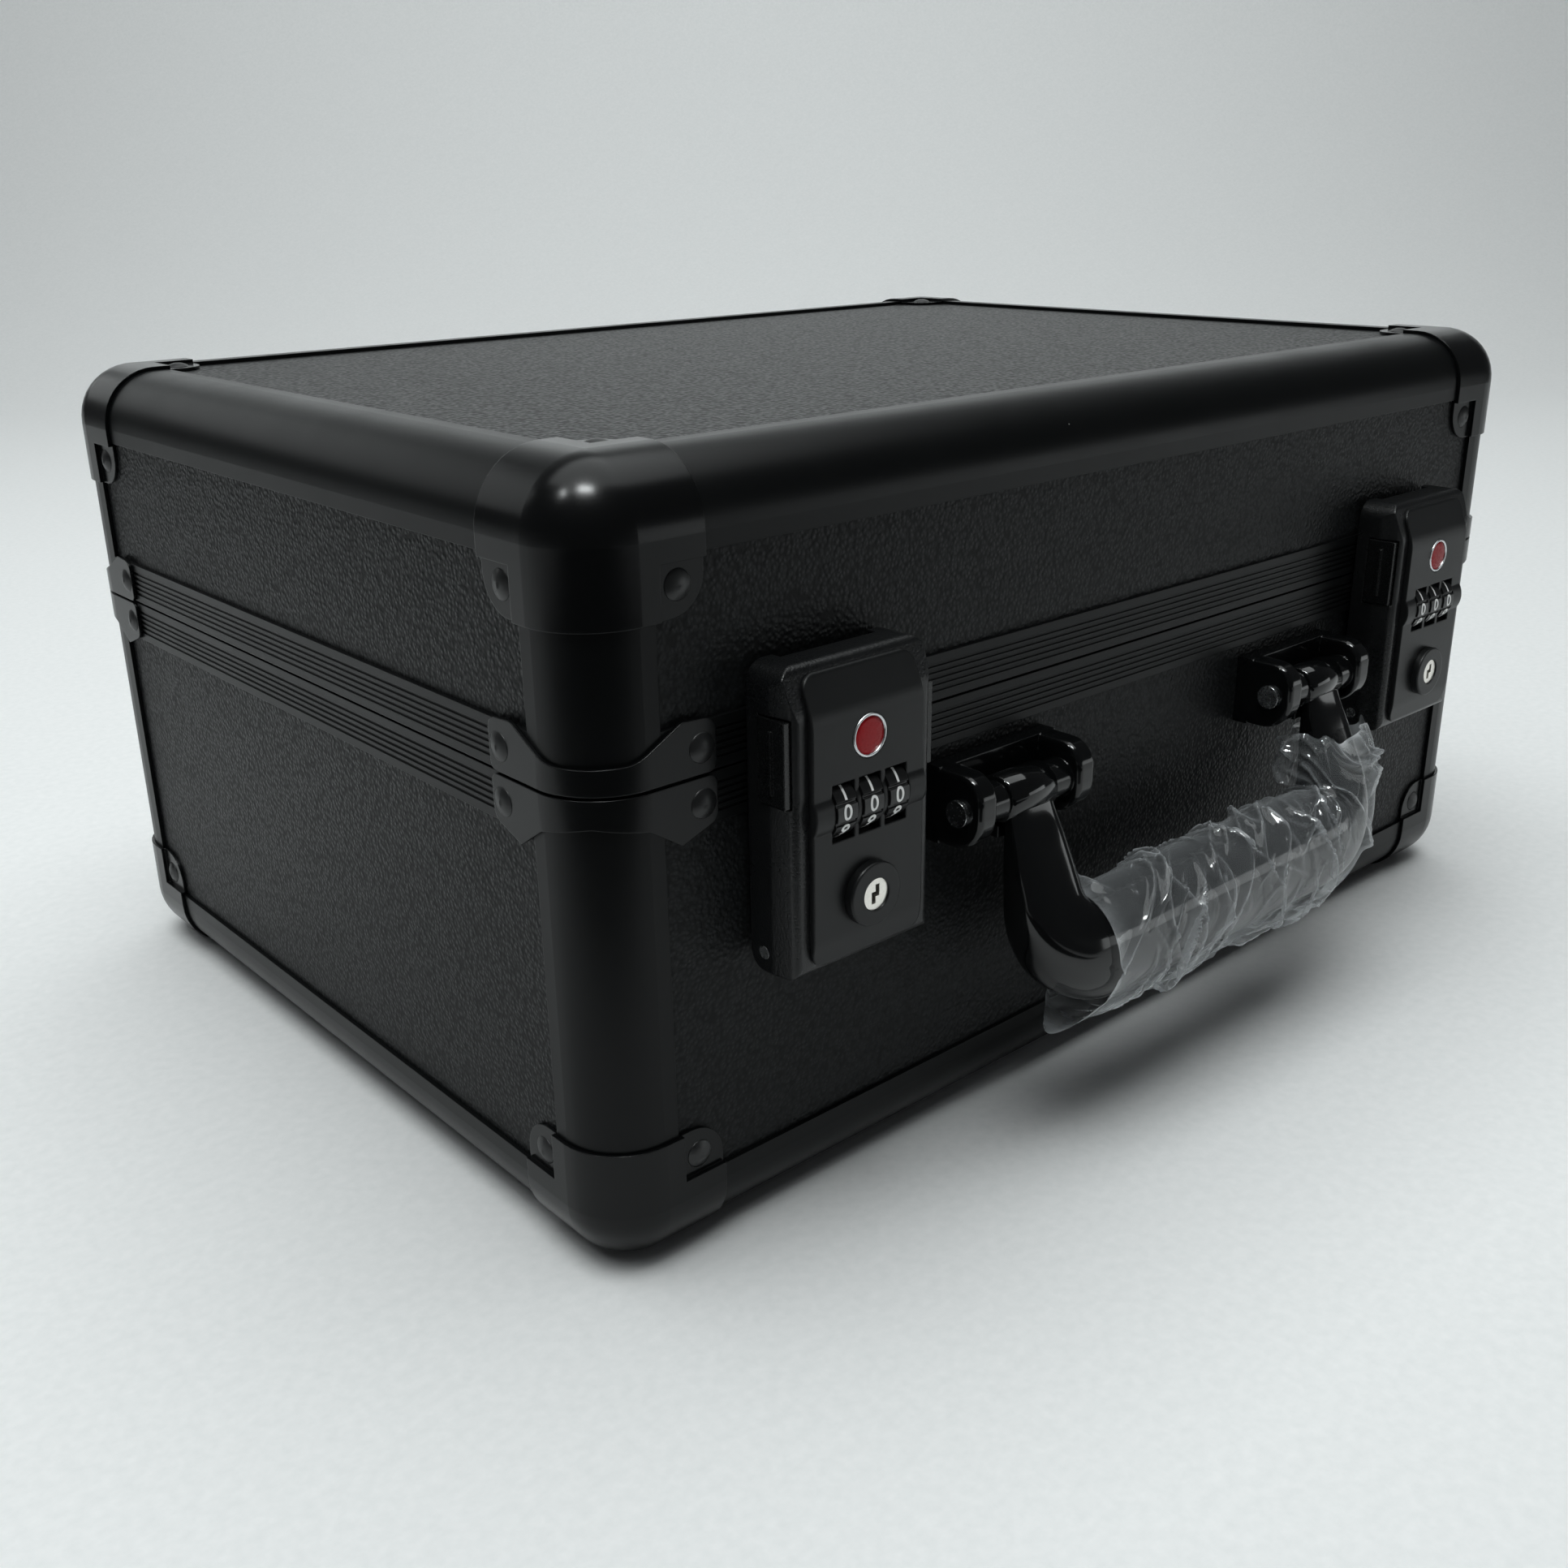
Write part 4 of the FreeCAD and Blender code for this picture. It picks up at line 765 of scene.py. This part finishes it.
@dataclass
class Bail:
    """Swinging handle: a band below each hub that swells and turns into an oval grip.

    Attributes:
        hub_x: Distance of each hub from the middle.
        hub_half: Half the length of a hub.
        hub_radius: Radius of a hub.
        bore: Radius of the hole for the pin.
        drop: Height of the pins above the grip's middle line.
        bend: Radius of the middle line between band and grip.
        top: How far below the pins the band starts, inside the hub.
        tilt: How far the hanging handle leans out, in degrees.
        spots: Distances along the middle line from the middle of the grip.
        half_widths: Half widths in the plane of the handle at those distances.
        half_depths: Half depths square to that plane.
        forwards: How far the middle line stands before the pins.
        squareness: Exponents of the rounded section, with 2 for an ellipse.
        blend: How far each way the measures are blended, in millimetres.
        broken: Size of the hubs' broken edges.
        crisp: Least angle between faces that stays a crisp edge, in degrees.
        around: Points in one ring of the sweep.
        rings: Rings along the sweep.
    """

    hub_x: float = 67.0 * MM
    hub_half: float = 8.5 * MM
    hub_radius: float = 6.3 * MM
    bore: float = 2.5 * MM
    drop: float = 44.5 * MM
    bend: float = 16.0 * MM
    top: float = 3.4 * MM
    tilt: float = 10.0
    spots: tuple[float, ...] = (0.0, 46.0, 58.0, 68.0, 76.0, 88.0, 96.0, 101.2)
    half_widths: tuple[float, ...] = (15.0, 15.0, 13.6, 11.8, 10.8, 9.8, 8.6, 8.0)
    half_depths: tuple[float, ...] = (12.0, 12.0, 11.6, 9.8, 7.4, 4.8, 3.4, 2.0)
    forwards: tuple[float, ...] = (6.6, 6.6, 6.5, 5.8, 5.0, 4.0, 3.4, 3.0)
    squareness: tuple[float, ...] = (2.0, 2.0, 2.3, 2.8, 3.2, 3.6, 3.6, 3.0)
    blend: int = 5
    broken: float = 0.7 * MM
    crisp: float = 50.0
    around: int = 72
    rings: int = 180

    def reach(self) -> float:
        """Return the length of the middle line from the middle of the grip to a hub."""
        straight = self.hub_x - self.bend
        return straight + self.bend * math.pi / 2 + self.drop - self.bend - self.top

    def middle_line(self, along: np.ndarray) -> tuple[np.ndarray, np.ndarray, np.ndarray, np.ndarray]:
        """Follow the middle line from the middle of the grip towards the right hub.

        Args:
            along: Distances along the line.

        Returns:
            The places in x and z from the pins' line, and the outward directions in x and z.
        """
        straight = self.hub_x - self.bend
        angle = np.clip((along - straight) / self.bend, 0.0, math.pi / 2)
        rise = np.maximum(0.0, along - straight - self.bend * math.pi / 2)
        x = np.minimum(along, straight) + self.bend * np.sin(angle)
        z = rise - self.drop + self.bend * (1.0 - np.cos(angle))
        return x, z, np.sin(angle), -np.cos(angle)

    def measure(self, along: np.ndarray, values: tuple[float, ...]) -> np.ndarray:
        """Blend one of the handle's measures smoothly along the middle line.

        Args:
            along: Distances along the line.
            values: The measure at the handle's spots.

        Returns:
            The measure at each distance, in the unit of the values.
        """
        shifts = range(-self.blend, self.blend + 1)
        near = [np.interp(np.abs(along) / MM + shift, self.spots, values) for shift in shifts]
        return np.mean(near, axis=0)

    def section(
        self, along: np.ndarray, turn: np.ndarray, gap: object = 0.0
    ) -> tuple[np.ndarray, np.ndarray]:
        """Find points on the rounded section.

        Args:
            along: Distances along the middle line.
            turn: Angles round the section.
            gap: Distance kept outside the handle's surface.

        Returns:
            The points' offsets outwards in the handle's plane and square to it.
        """
        power = 2.0 / self.measure(along, self.squareness)
        wide = self.measure(along, self.half_widths) * MM + gap
        deep = self.measure(along, self.half_depths) * MM + gap
        out = wide * np.sign(np.sin(turn)) * np.abs(np.sin(turn)) ** power
        square = deep * np.sign(np.cos(turn)) * np.abs(np.cos(turn)) ** power
        return out, square

    def settle(self, shape: bmesh.types.BMesh) -> None:
        """Lean a shape built round the pins' line and move it to its place.

        Args:
            shape: The shape to move.
        """
        low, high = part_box("handle_pins")
        lean = Matrix.Rotation(-math.radians(self.tilt), 3, "X")
        bmesh.ops.rotate(shape, verts=shape.verts, matrix=lean)
        bmesh.ops.translate(shape, verts=shape.verts, vec=(0.0, (low.y + high.y) / 2, (low.z + high.z) / 2))
        bmesh.ops.recalc_face_normals(shape, faces=shape.faces)

    def add_hub(self, shape: bmesh.types.BMesh, middle: float) -> None:
        """Add a bored hub with broken edges.

        Args:
            shape: Shape that gets the hub.
            middle: Middle of the hub along the pins' line.
        """
        end = self.hub_half
        broken = self.broken
        outline = [
            (self.bore, -end),
            (self.hub_radius - broken, -end),
            (self.hub_radius, broken - end),
            (self.hub_radius, end - broken),
            (self.hub_radius - broken, end),
            (self.bore, end),
            (self.bore, -end),
        ]
        points = [shape.verts.new((middle + x, 0.0, radius)) for radius, x in outline]
        edges = [shape.edges.new(pair) for pair in zip(points, points[1:])]
        bmesh.ops.spin(
            shape,
            geom=points + edges,
            cent=(0.0, 0.0, 0.0),
            axis=(1.0, 0.0, 0.0),
            angle=2.0 * math.pi,
            steps=TURN_STEPS,
            use_merge=True,
        )

    def build(self) -> bpy.types.Object:
        """Shape the bands and the grip as one swept tube, with a hub at each end.

        Returns:
            The handle.
        """
        shape = unit_tube(self.around, self.rings, capped=True)
        spots = np.array([vert.co[:] for vert in shape.verts])
        travel = (2.0 * spots[:, 0] - 1.0) * self.reach()
        turn = np.arctan2(spots[:, 2], spots[:, 1])
        x, z, out_x, out_z = self.middle_line(np.abs(travel))
        out, square = self.section(travel, turn)
        side = np.where(travel < 0.0, -1.0, 1.0)
        forward = self.measure(travel, self.forwards) * MM
        places = zip(side * (x + out_x * out), square - forward, z + out_z * out)
        for vert, place in zip(shape.verts, places):
            vert.co = place
        for middle in (-self.hub_x, self.hub_x):
            self.add_hub(shape, middle)
        bmesh.ops.remove_doubles(shape, verts=shape.verts, dist=WELD)
        self.settle(shape)
        handle = piece_from("handle_moulding", shape, HANDLE)
        handle.modifiers.new("edges", "EDGE_SPLIT").split_angle = math.radians(self.crisp)
        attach(handle, "handle")
        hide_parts("handle_bail")
        return handle


@dataclass(frozen=True)
class Wrinkle:
    """One kind of wrinkle in the film.

    Attributes:
        count: How many there are.
        slants: Least and greatest angle to the handle's middle line, in degrees.
        lengths: Least and greatest half length, in millimetres.
        widths: Least and greatest width, in millimetres.
        heights: Least and greatest height, in millimetres.
        white: How white its ridge is.
    """

    count: int
    slants: tuple[float, float]
    lengths: tuple[float, float]
    widths: tuple[float, float]
    heights: tuple[float, float]
    white: float


BROAD_FOLD = Wrinkle(78, (48.0, 84.0), (12.0, 34.0), (0.8, 2.0), (0.9, 2.6), 0.5)
SHORT_CREASE = Wrinkle(60, (-80.0, 80.0), (3.0, 9.0), (0.4, 0.8), (0.2, 0.6), 0.7)


@dataclass
class FilmSleeve:
    """Clear sleeve of thin film left on the handle's grip, up to the right hub.

    Attributes:
        left: Where the sleeve ends on the left, along the handle's middle line.
        flap: How much further left its underside hangs.
        right: Where it ends on the right.
        rings: Rings along the sleeve.
        around: Points in one ring.
        slack: Mean gap between film and grip.
        sag: How far the underside hangs below the grip.
        cuff: How much wider the right end stands open.
        cuff_start: Where the sleeve starts to open.
        most_lift: Most that wrinkles lift the film.
        bow: How far a wrinkle strays from a straight line.
        hem_fade: How quickly the white of the hems fades along the sleeve.
        hem_white: How white the hems are.
        under_white: How white the underside is.
        steep: Width of a wrinkle's steep flank, as a share of its gentle one.
        ridge: Width of a wrinkle's white ridge, as a share of its gentle flank.
        ease: Slack of the flat sheet, added to the grip's half width and half depth together.
        kinds: Kinds of wrinkles.
        seed: Seed of their places.
    """

    left: float = -57.0 * MM
    flap: float = 15.0 * MM
    right: float = 90.0 * MM
    rings: int = 190
    around: int = 170
    slack: float = 0.9 * MM
    sag: float = 1.8 * MM
    cuff: float = 3.2 * MM
    cuff_start: float = 62.0 * MM
    most_lift: float = 3.6 * MM
    bow: float = 6.0 * MM
    hem_fade: float = 60.0
    hem_white: float = 0.8
    under_white: float = 0.5
    steep: float = 0.45
    ridge: float = 0.3
    ease: float = 2.0 * MM
    kinds: tuple[Wrinkle, ...] = (BROAD_FOLD, SHORT_CREASE)
    seed: int = 11

    def wrinkles(self, along: np.ndarray, turn: np.ndarray, girth: float) -> tuple[np.ndarray, np.ndarray]:
        """Lay folds and creases over the film.

        Args:
            along: Distances along the handle's middle line.
            turn: Angles round the sleeve.
            girth: Way round the sleeve.

        Returns:
            How far the film is lifted, and how white it is.
        """
        rng = random.Random(self.seed)
        lift = np.zeros_like(along)
        white = np.zeros_like(along)
        for index, kind in enumerate(kind for kind in self.kinds for _ in range(kind.count)):
            at = rng.uniform(self.left, self.right)
            angle = rng.uniform(0.0, 2.0 * math.pi)
            slant = math.radians(rng.uniform(*kind.slants))
            length = rng.uniform(*kind.lengths) * MM
            width = rng.uniform(*kind.widths) * MM
            height = rng.uniform(*kind.heights) * MM
            across = (turn - angle + math.pi) % (2.0 * math.pi) - math.pi
            du = along - at + self.bow * np.sin(across * 2.0 + index)
            dv = across * girth / (2.0 * math.pi)
            run = du * math.cos(slant) + dv * math.sin(slant)
            off = dv * math.cos(slant) - du * math.sin(slant)
            fade = np.clip(1.0 - (run / length) ** 2, 0.0, 1.0)
            flank = np.where(off > 0.0, width, self.steep * width)
            lift += height * fade * np.exp(-((off / flank) ** 2))
            white += kind.white * fade * np.exp(-((off / (self.ridge * width)) ** 2))
        return np.minimum(lift, self.most_lift), np.minimum(white, 1.0)

    def build(self, bail: Bail) -> bpy.types.Object:
        """Shape the sleeve from a tube that follows the handle and is then wrinkled.

        Args:
            bail: The handle that it covers.

        Returns:
            The sleeve.
        """
        shape = unit_tube(self.around, self.rings, capped=False)
        spots = np.array([vert.co[:] for vert in shape.verts])
        turn = np.arctan2(spots[:, 2], spots[:, 1])
        under = np.maximum(0.0, np.sin(turn))
        start = self.left - self.flap * under**4
        ragged = 1.5 * MM * np.sin(3.0 * turn + 1.0) + 1.0 * MM * np.sin(7.0 * turn)
        along = start + (self.right + ragged - start) * spots[:, 0]
        girth = math.pi * ((bail.half_widths[0] + bail.half_depths[0]) * MM + self.ease)
        lift, white = self.wrinkles(along, turn, girth)
        open_end = np.clip((along - self.cuff_start) / (self.right - self.cuff_start), 0.0, 1.0)
        gap = self.slack + lift + self.cuff * open_end
        covered = np.maximum(along, 0.0)
        x, z, out_x, out_z = bail.middle_line(covered)
        x = x + np.minimum(along, 0.0)
        out, square = bail.section(covered, turn, gap)
        out = out + self.sag * under**5 * (1.0 - open_end)
        forward = bail.measure(covered, bail.forwards) * MM
        layer = shape.verts.layers.float.new("crease")
        hem = np.exp(-spots[:, 0] * self.hem_fade) + np.exp((spots[:, 0] - 1.0) * self.hem_fade)
        white = np.minimum(1.0, white + self.under_white * under**6 + self.hem_white * hem)
        places = zip(x + out_x * out, square - forward, z + out_z * out)
        for vert, place, mark in zip(shape.verts, places, white):
            vert[layer] = mark
            vert.co = place
        bail.settle(shape)
        sleeve = piece_from("handle_film_sleeve", shape, FILM)
        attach(sleeve, "handle")
        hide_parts("handle_film")
        return sleeve


@dataclass
class Lamp:
    """One soft rectangular lamp, placed from the middle of the case as the camera sees it.

    Attributes:
        name: Name of the lamp.
        place: Where it hangs, as rightwards, away from the camera and up.
        aim: Point it faces, in the same directions.
        size: Width and height of its face.
        power: Power in watts.
        glossy: Whether polished surfaces mirror it.
        diffuse: Whether it lights matt surfaces.
    """

    name: str
    place: tuple[float, float, float]
    aim: tuple[float, float, float]
    size: tuple[float, float]
    power: float
    glossy: bool = True
    diffuse: bool = True

    def build(self, turn: Matrix) -> None:
        """Hang the lamp.

        Args:
            turn: Turn from the camera's directions to the frame's.
        """
        light = bpy.data.lights.new(self.name, "AREA")
        light.shape = "RECTANGLE"
        light.size, light.size_y = self.size
        light.energy = self.power
        light.color = LAMP_TONE
        place = turn @ Vector(self.place)
        lamp = bpy.data.objects.new(self.name, light)
        lamp.location = place
        lamp.visible_glossy = self.glossy
        lamp.visible_diffuse = self.diffuse
        lamp.visible_camera = False
        lamp.rotation_euler = (turn @ Vector(self.aim) - place).to_track_quat("-Z", "Y").to_euler()
        bpy.context.scene.collection.objects.link(lamp)


@dataclass
class Stage:
    """Pale sweep, soft lights and the camera.

    Attributes:
        floor_tone: Colour of the floor and backdrop.
        wall_back: Distance of the backdrop behind the origin, seen from the camera.
        bend: Radius between floor and backdrop.
        half_width: Half the width of the sweep.
        front: How far the floor runs in front of the origin.
        height: Height of the backdrop.
        yaw: Direction that the camera looks in, turned from +Y towards +X, in degrees.
        pitch: How far the camera looks down, in degrees.
        roll: How far the camera leans, in degrees.
        stand: Camera's place from the middle of the case's underside.
        lens: Focal length in millimetres on a sensor 36 mm wide.
        world: Strength of the light from all round.
        surround: Brightness of the surround where the camera sees past the sweep.
        flag_near: Distance of the black card's near edge before the origin.
        flag_width: Width of the black card.
        flag_depth: Depth of the black card.
        lamps: The lamps.
    """

    floor_tone: Tone = (0.86, 0.875, 0.875)
    wall_back: float = 2.2
    bend: float = 0.9
    half_width: float = 2.4
    front: float = 1.6
    height: float = 3.0
    yaw: float = 41.13
    pitch: float = 20.75
    roll: float = -0.93
    stand: tuple[float, float, float] = (-0.35929, -0.3926, 0.23975)
    lens: float = 36.87
    world: float = 0.05
    surround: float = 0.6
    flag_near: float = 0.36
    flag_width: float = 1.2
    flag_depth: float = 2.5
    lamps: tuple[Lamp, ...] = (
        Lamp("overhead", (0.0, 0.2, 2.0), (0.0, 0.2, 0.0), (2.4, 2.0), 31.0),
        Lamp("floor_fill", (-0.5, -0.5, 1.7), (-0.35, -0.3, 0.0), (2.0, 1.4), 12.5, glossy=False),
        Lamp("backdrop_wash", (-0.7, 0.9, 1.9), (-0.5, 2.2, 1.5), (2.4, 0.5), 4.0, glossy=False),
        Lamp("left_card", (-1.6, 0.8, 0.9), (0.0, 0.0, 0.15), (1.2, 0.8), 2.4, diffuse=False),
        Lamp("rear_card", (0.0, 1.7, 0.75), (0.0, 0.0, 0.19), (2.6, 0.7), 2.0, diffuse=False),
        Lamp("right_card", (1.3, -0.2, 0.14), (0.1, -0.1, 0.1), (0.8, 0.22), 0.9, diffuse=False),
        Lamp("window", (-0.05, -0.7, 1.7), (0.0, 0.0, 0.1), (0.45, 0.22), 20.0, diffuse=False),
        Lamp("side_window", (-0.85, -0.75, 1.7), (0.0, 0.0, 0.1), (0.12, 0.2), 6.0, diffuse=False),
    )

    def turn(self) -> Matrix:
        """Return the turn about the upright axis from the camera's directions to the frame's."""
        return Matrix.Rotation(-math.radians(self.yaw), 3, "Z")

    def build_sweep(self) -> bpy.types.Object:
        """Make the floor that curves up into the backdrop.

        Returns:
            The sweep.
        """
        shape = bmesh.new()
        ends = [shape.verts.new((x, -self.front, 0.0)) for x in (-self.half_width, self.half_width)]
        edge = shape.edges.new(ends)
        grown = bmesh.ops.extrude_edge_only(shape, edges=[edge])["geom"]
        verts = [g for g in grown if isinstance(g, bmesh.types.BMVert)]
        bmesh.ops.translate(shape, verts=verts, vec=(0.0, self.front + self.wall_back - self.bend, 0.0))
        edges = [g for g in grown if isinstance(g, bmesh.types.BMEdge)]
        turned_end = bmesh.ops.spin(
            shape,
            geom=verts + edges,
            cent=(0.0, self.wall_back - self.bend, self.bend),
            axis=(1.0, 0.0, 0.0),
            angle=math.pi / 2,
            steps=32,
        )["geom_last"]
        edges = [g for g in turned_end if isinstance(g, bmesh.types.BMEdge)]
        grown = bmesh.ops.extrude_edge_only(shape, edges=edges)["geom"]
        verts = [g for g in grown if isinstance(g, bmesh.types.BMVert)]
        bmesh.ops.translate(shape, verts=verts, vec=(0.0, 0.0, self.height))
        bmesh.ops.rotate(shape, verts=shape.verts, matrix=self.turn())
        bmesh.ops.recalc_face_normals(shape, faces=shape.faces)
        finish = CoatedFinish("paper_sweep", self.floor_tone, (0.6, 0.7), 300.0, 0.000004, sheen=0.2)
        sweep = piece_from("sweep", shape, finish)
        return sweep

    def build_flag(self) -> bpy.types.Object:
        """Lay a black card on the floor before the camera, seen only in reflections: painted shade that
        stands in for the darker floor before the camera, as the case's black surfaces mirror it.

        Returns:
            The card.
        """
        shape = bmesh.new()
        bmesh.ops.create_grid(shape, x_segments=1, y_segments=1, size=0.5)
        bmesh.ops.scale(shape, verts=shape.verts, vec=(self.flag_width, self.flag_depth, 1.0))
        shift = (0.0, -self.flag_near - self.flag_depth / 2, 1.0 * MM)
        bmesh.ops.translate(shape, verts=shape.verts, vec=shift)
        bmesh.ops.rotate(shape, verts=shape.verts, matrix=self.turn())
        # Painted shade: the black card darkens the floor's mirrored image before the camera in the case's
        # glossy black surfaces.
        finish = CoatedFinish("floor_shade_card", (0.003, 0.003, 0.003), (0.8, 0.9), 300.0, 0.000004, sheen=0.1)
        card = piece_from("floor_shade_card", shape, finish)
        card.visible_camera = False
        card.visible_diffuse = False
        card.visible_shadow = False
        return card

    def build_lights(self) -> None:
        """Hang the lamps and set the faint light from all round."""
        world = bpy.data.worlds.new("studio")
        world.use_nodes = True
        desk = NodeDesk(world.node_tree)
        background = world.node_tree.nodes["Background"]
        seen = desk.add("LightPath").outputs["Is Camera Ray"]
        desk.feed(background, Color=(0.94, 0.97, 1.0, 1.0))
        desk.feed(background, Strength=desk.remap(seen, 0.0, 1.0, self.world, self.surround))
        bpy.context.scene.world = world
        for lamp in self.lamps:
            lamp.build(self.turn())

    def build_camera(self) -> None:
        """Set the camera where the photograph was taken from."""
        yaw = math.radians(self.yaw)
        pitch = math.radians(self.pitch)
        roll = math.radians(self.roll)
        ahead = Vector((math.sin(yaw) * math.cos(pitch), math.cos(yaw) * math.cos(pitch), -math.sin(pitch)))
        right = Vector((math.cos(yaw), -math.sin(yaw), 0.0))
        over = right.cross(ahead)
        tilted_right = math.cos(roll) * right + math.sin(roll) * over
        tilted_over = math.cos(roll) * over - math.sin(roll) * right
        data = bpy.data.cameras.new("photo_camera")
        data.sensor_width = 36.0
        data.lens = self.lens
        data.clip_start = 0.01
        camera = bpy.data.objects.new("photo_camera", data)
        bpy.context.scene.collection.objects.link(camera)
        turn = Matrix((tilted_right, tilted_over, -ahead)).transposed().to_4x4()
        low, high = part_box("base_edge_profiles")
        middle = (low + high) / 2
        spot = Vector((middle.x, middle.y, low.z)) + Vector(self.stand)
        camera.matrix_world = Matrix.Translation(spot) @ turn
        bpy.context.scene.camera = camera

    def build(self) -> None:
        """Build the sweep, the black card of painted shade, the lamps and the camera."""
        self.build_sweep()
        self.build_flag()
        self.build_lights()
        self.build_camera()
        bpy.context.scene.view_settings.view_transform = "Standard"


def clear_scene() -> None:
    """Remove what a new Blender file holds."""
    for thing in list(bpy.data.objects):
        bpy.data.objects.remove(thing)


def main() -> None:
    """Build the looks in order."""
    logging.basicConfig(level=logging.INFO, format="%(message)s")
    clear_scene()
    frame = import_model()
    Stage().build()
    Case(frame["nodes"], frame["record"]).dress()
    for side in Side:
        for piece in Lock(side).build():
            LOG.info("built %s", piece.name)
    bail = Bail()
    LOG.info("built %s", bail.build().name)
    LOG.info("built %s", FilmSleeve().build(bail).name)


if __name__ == "__main__":
    main()
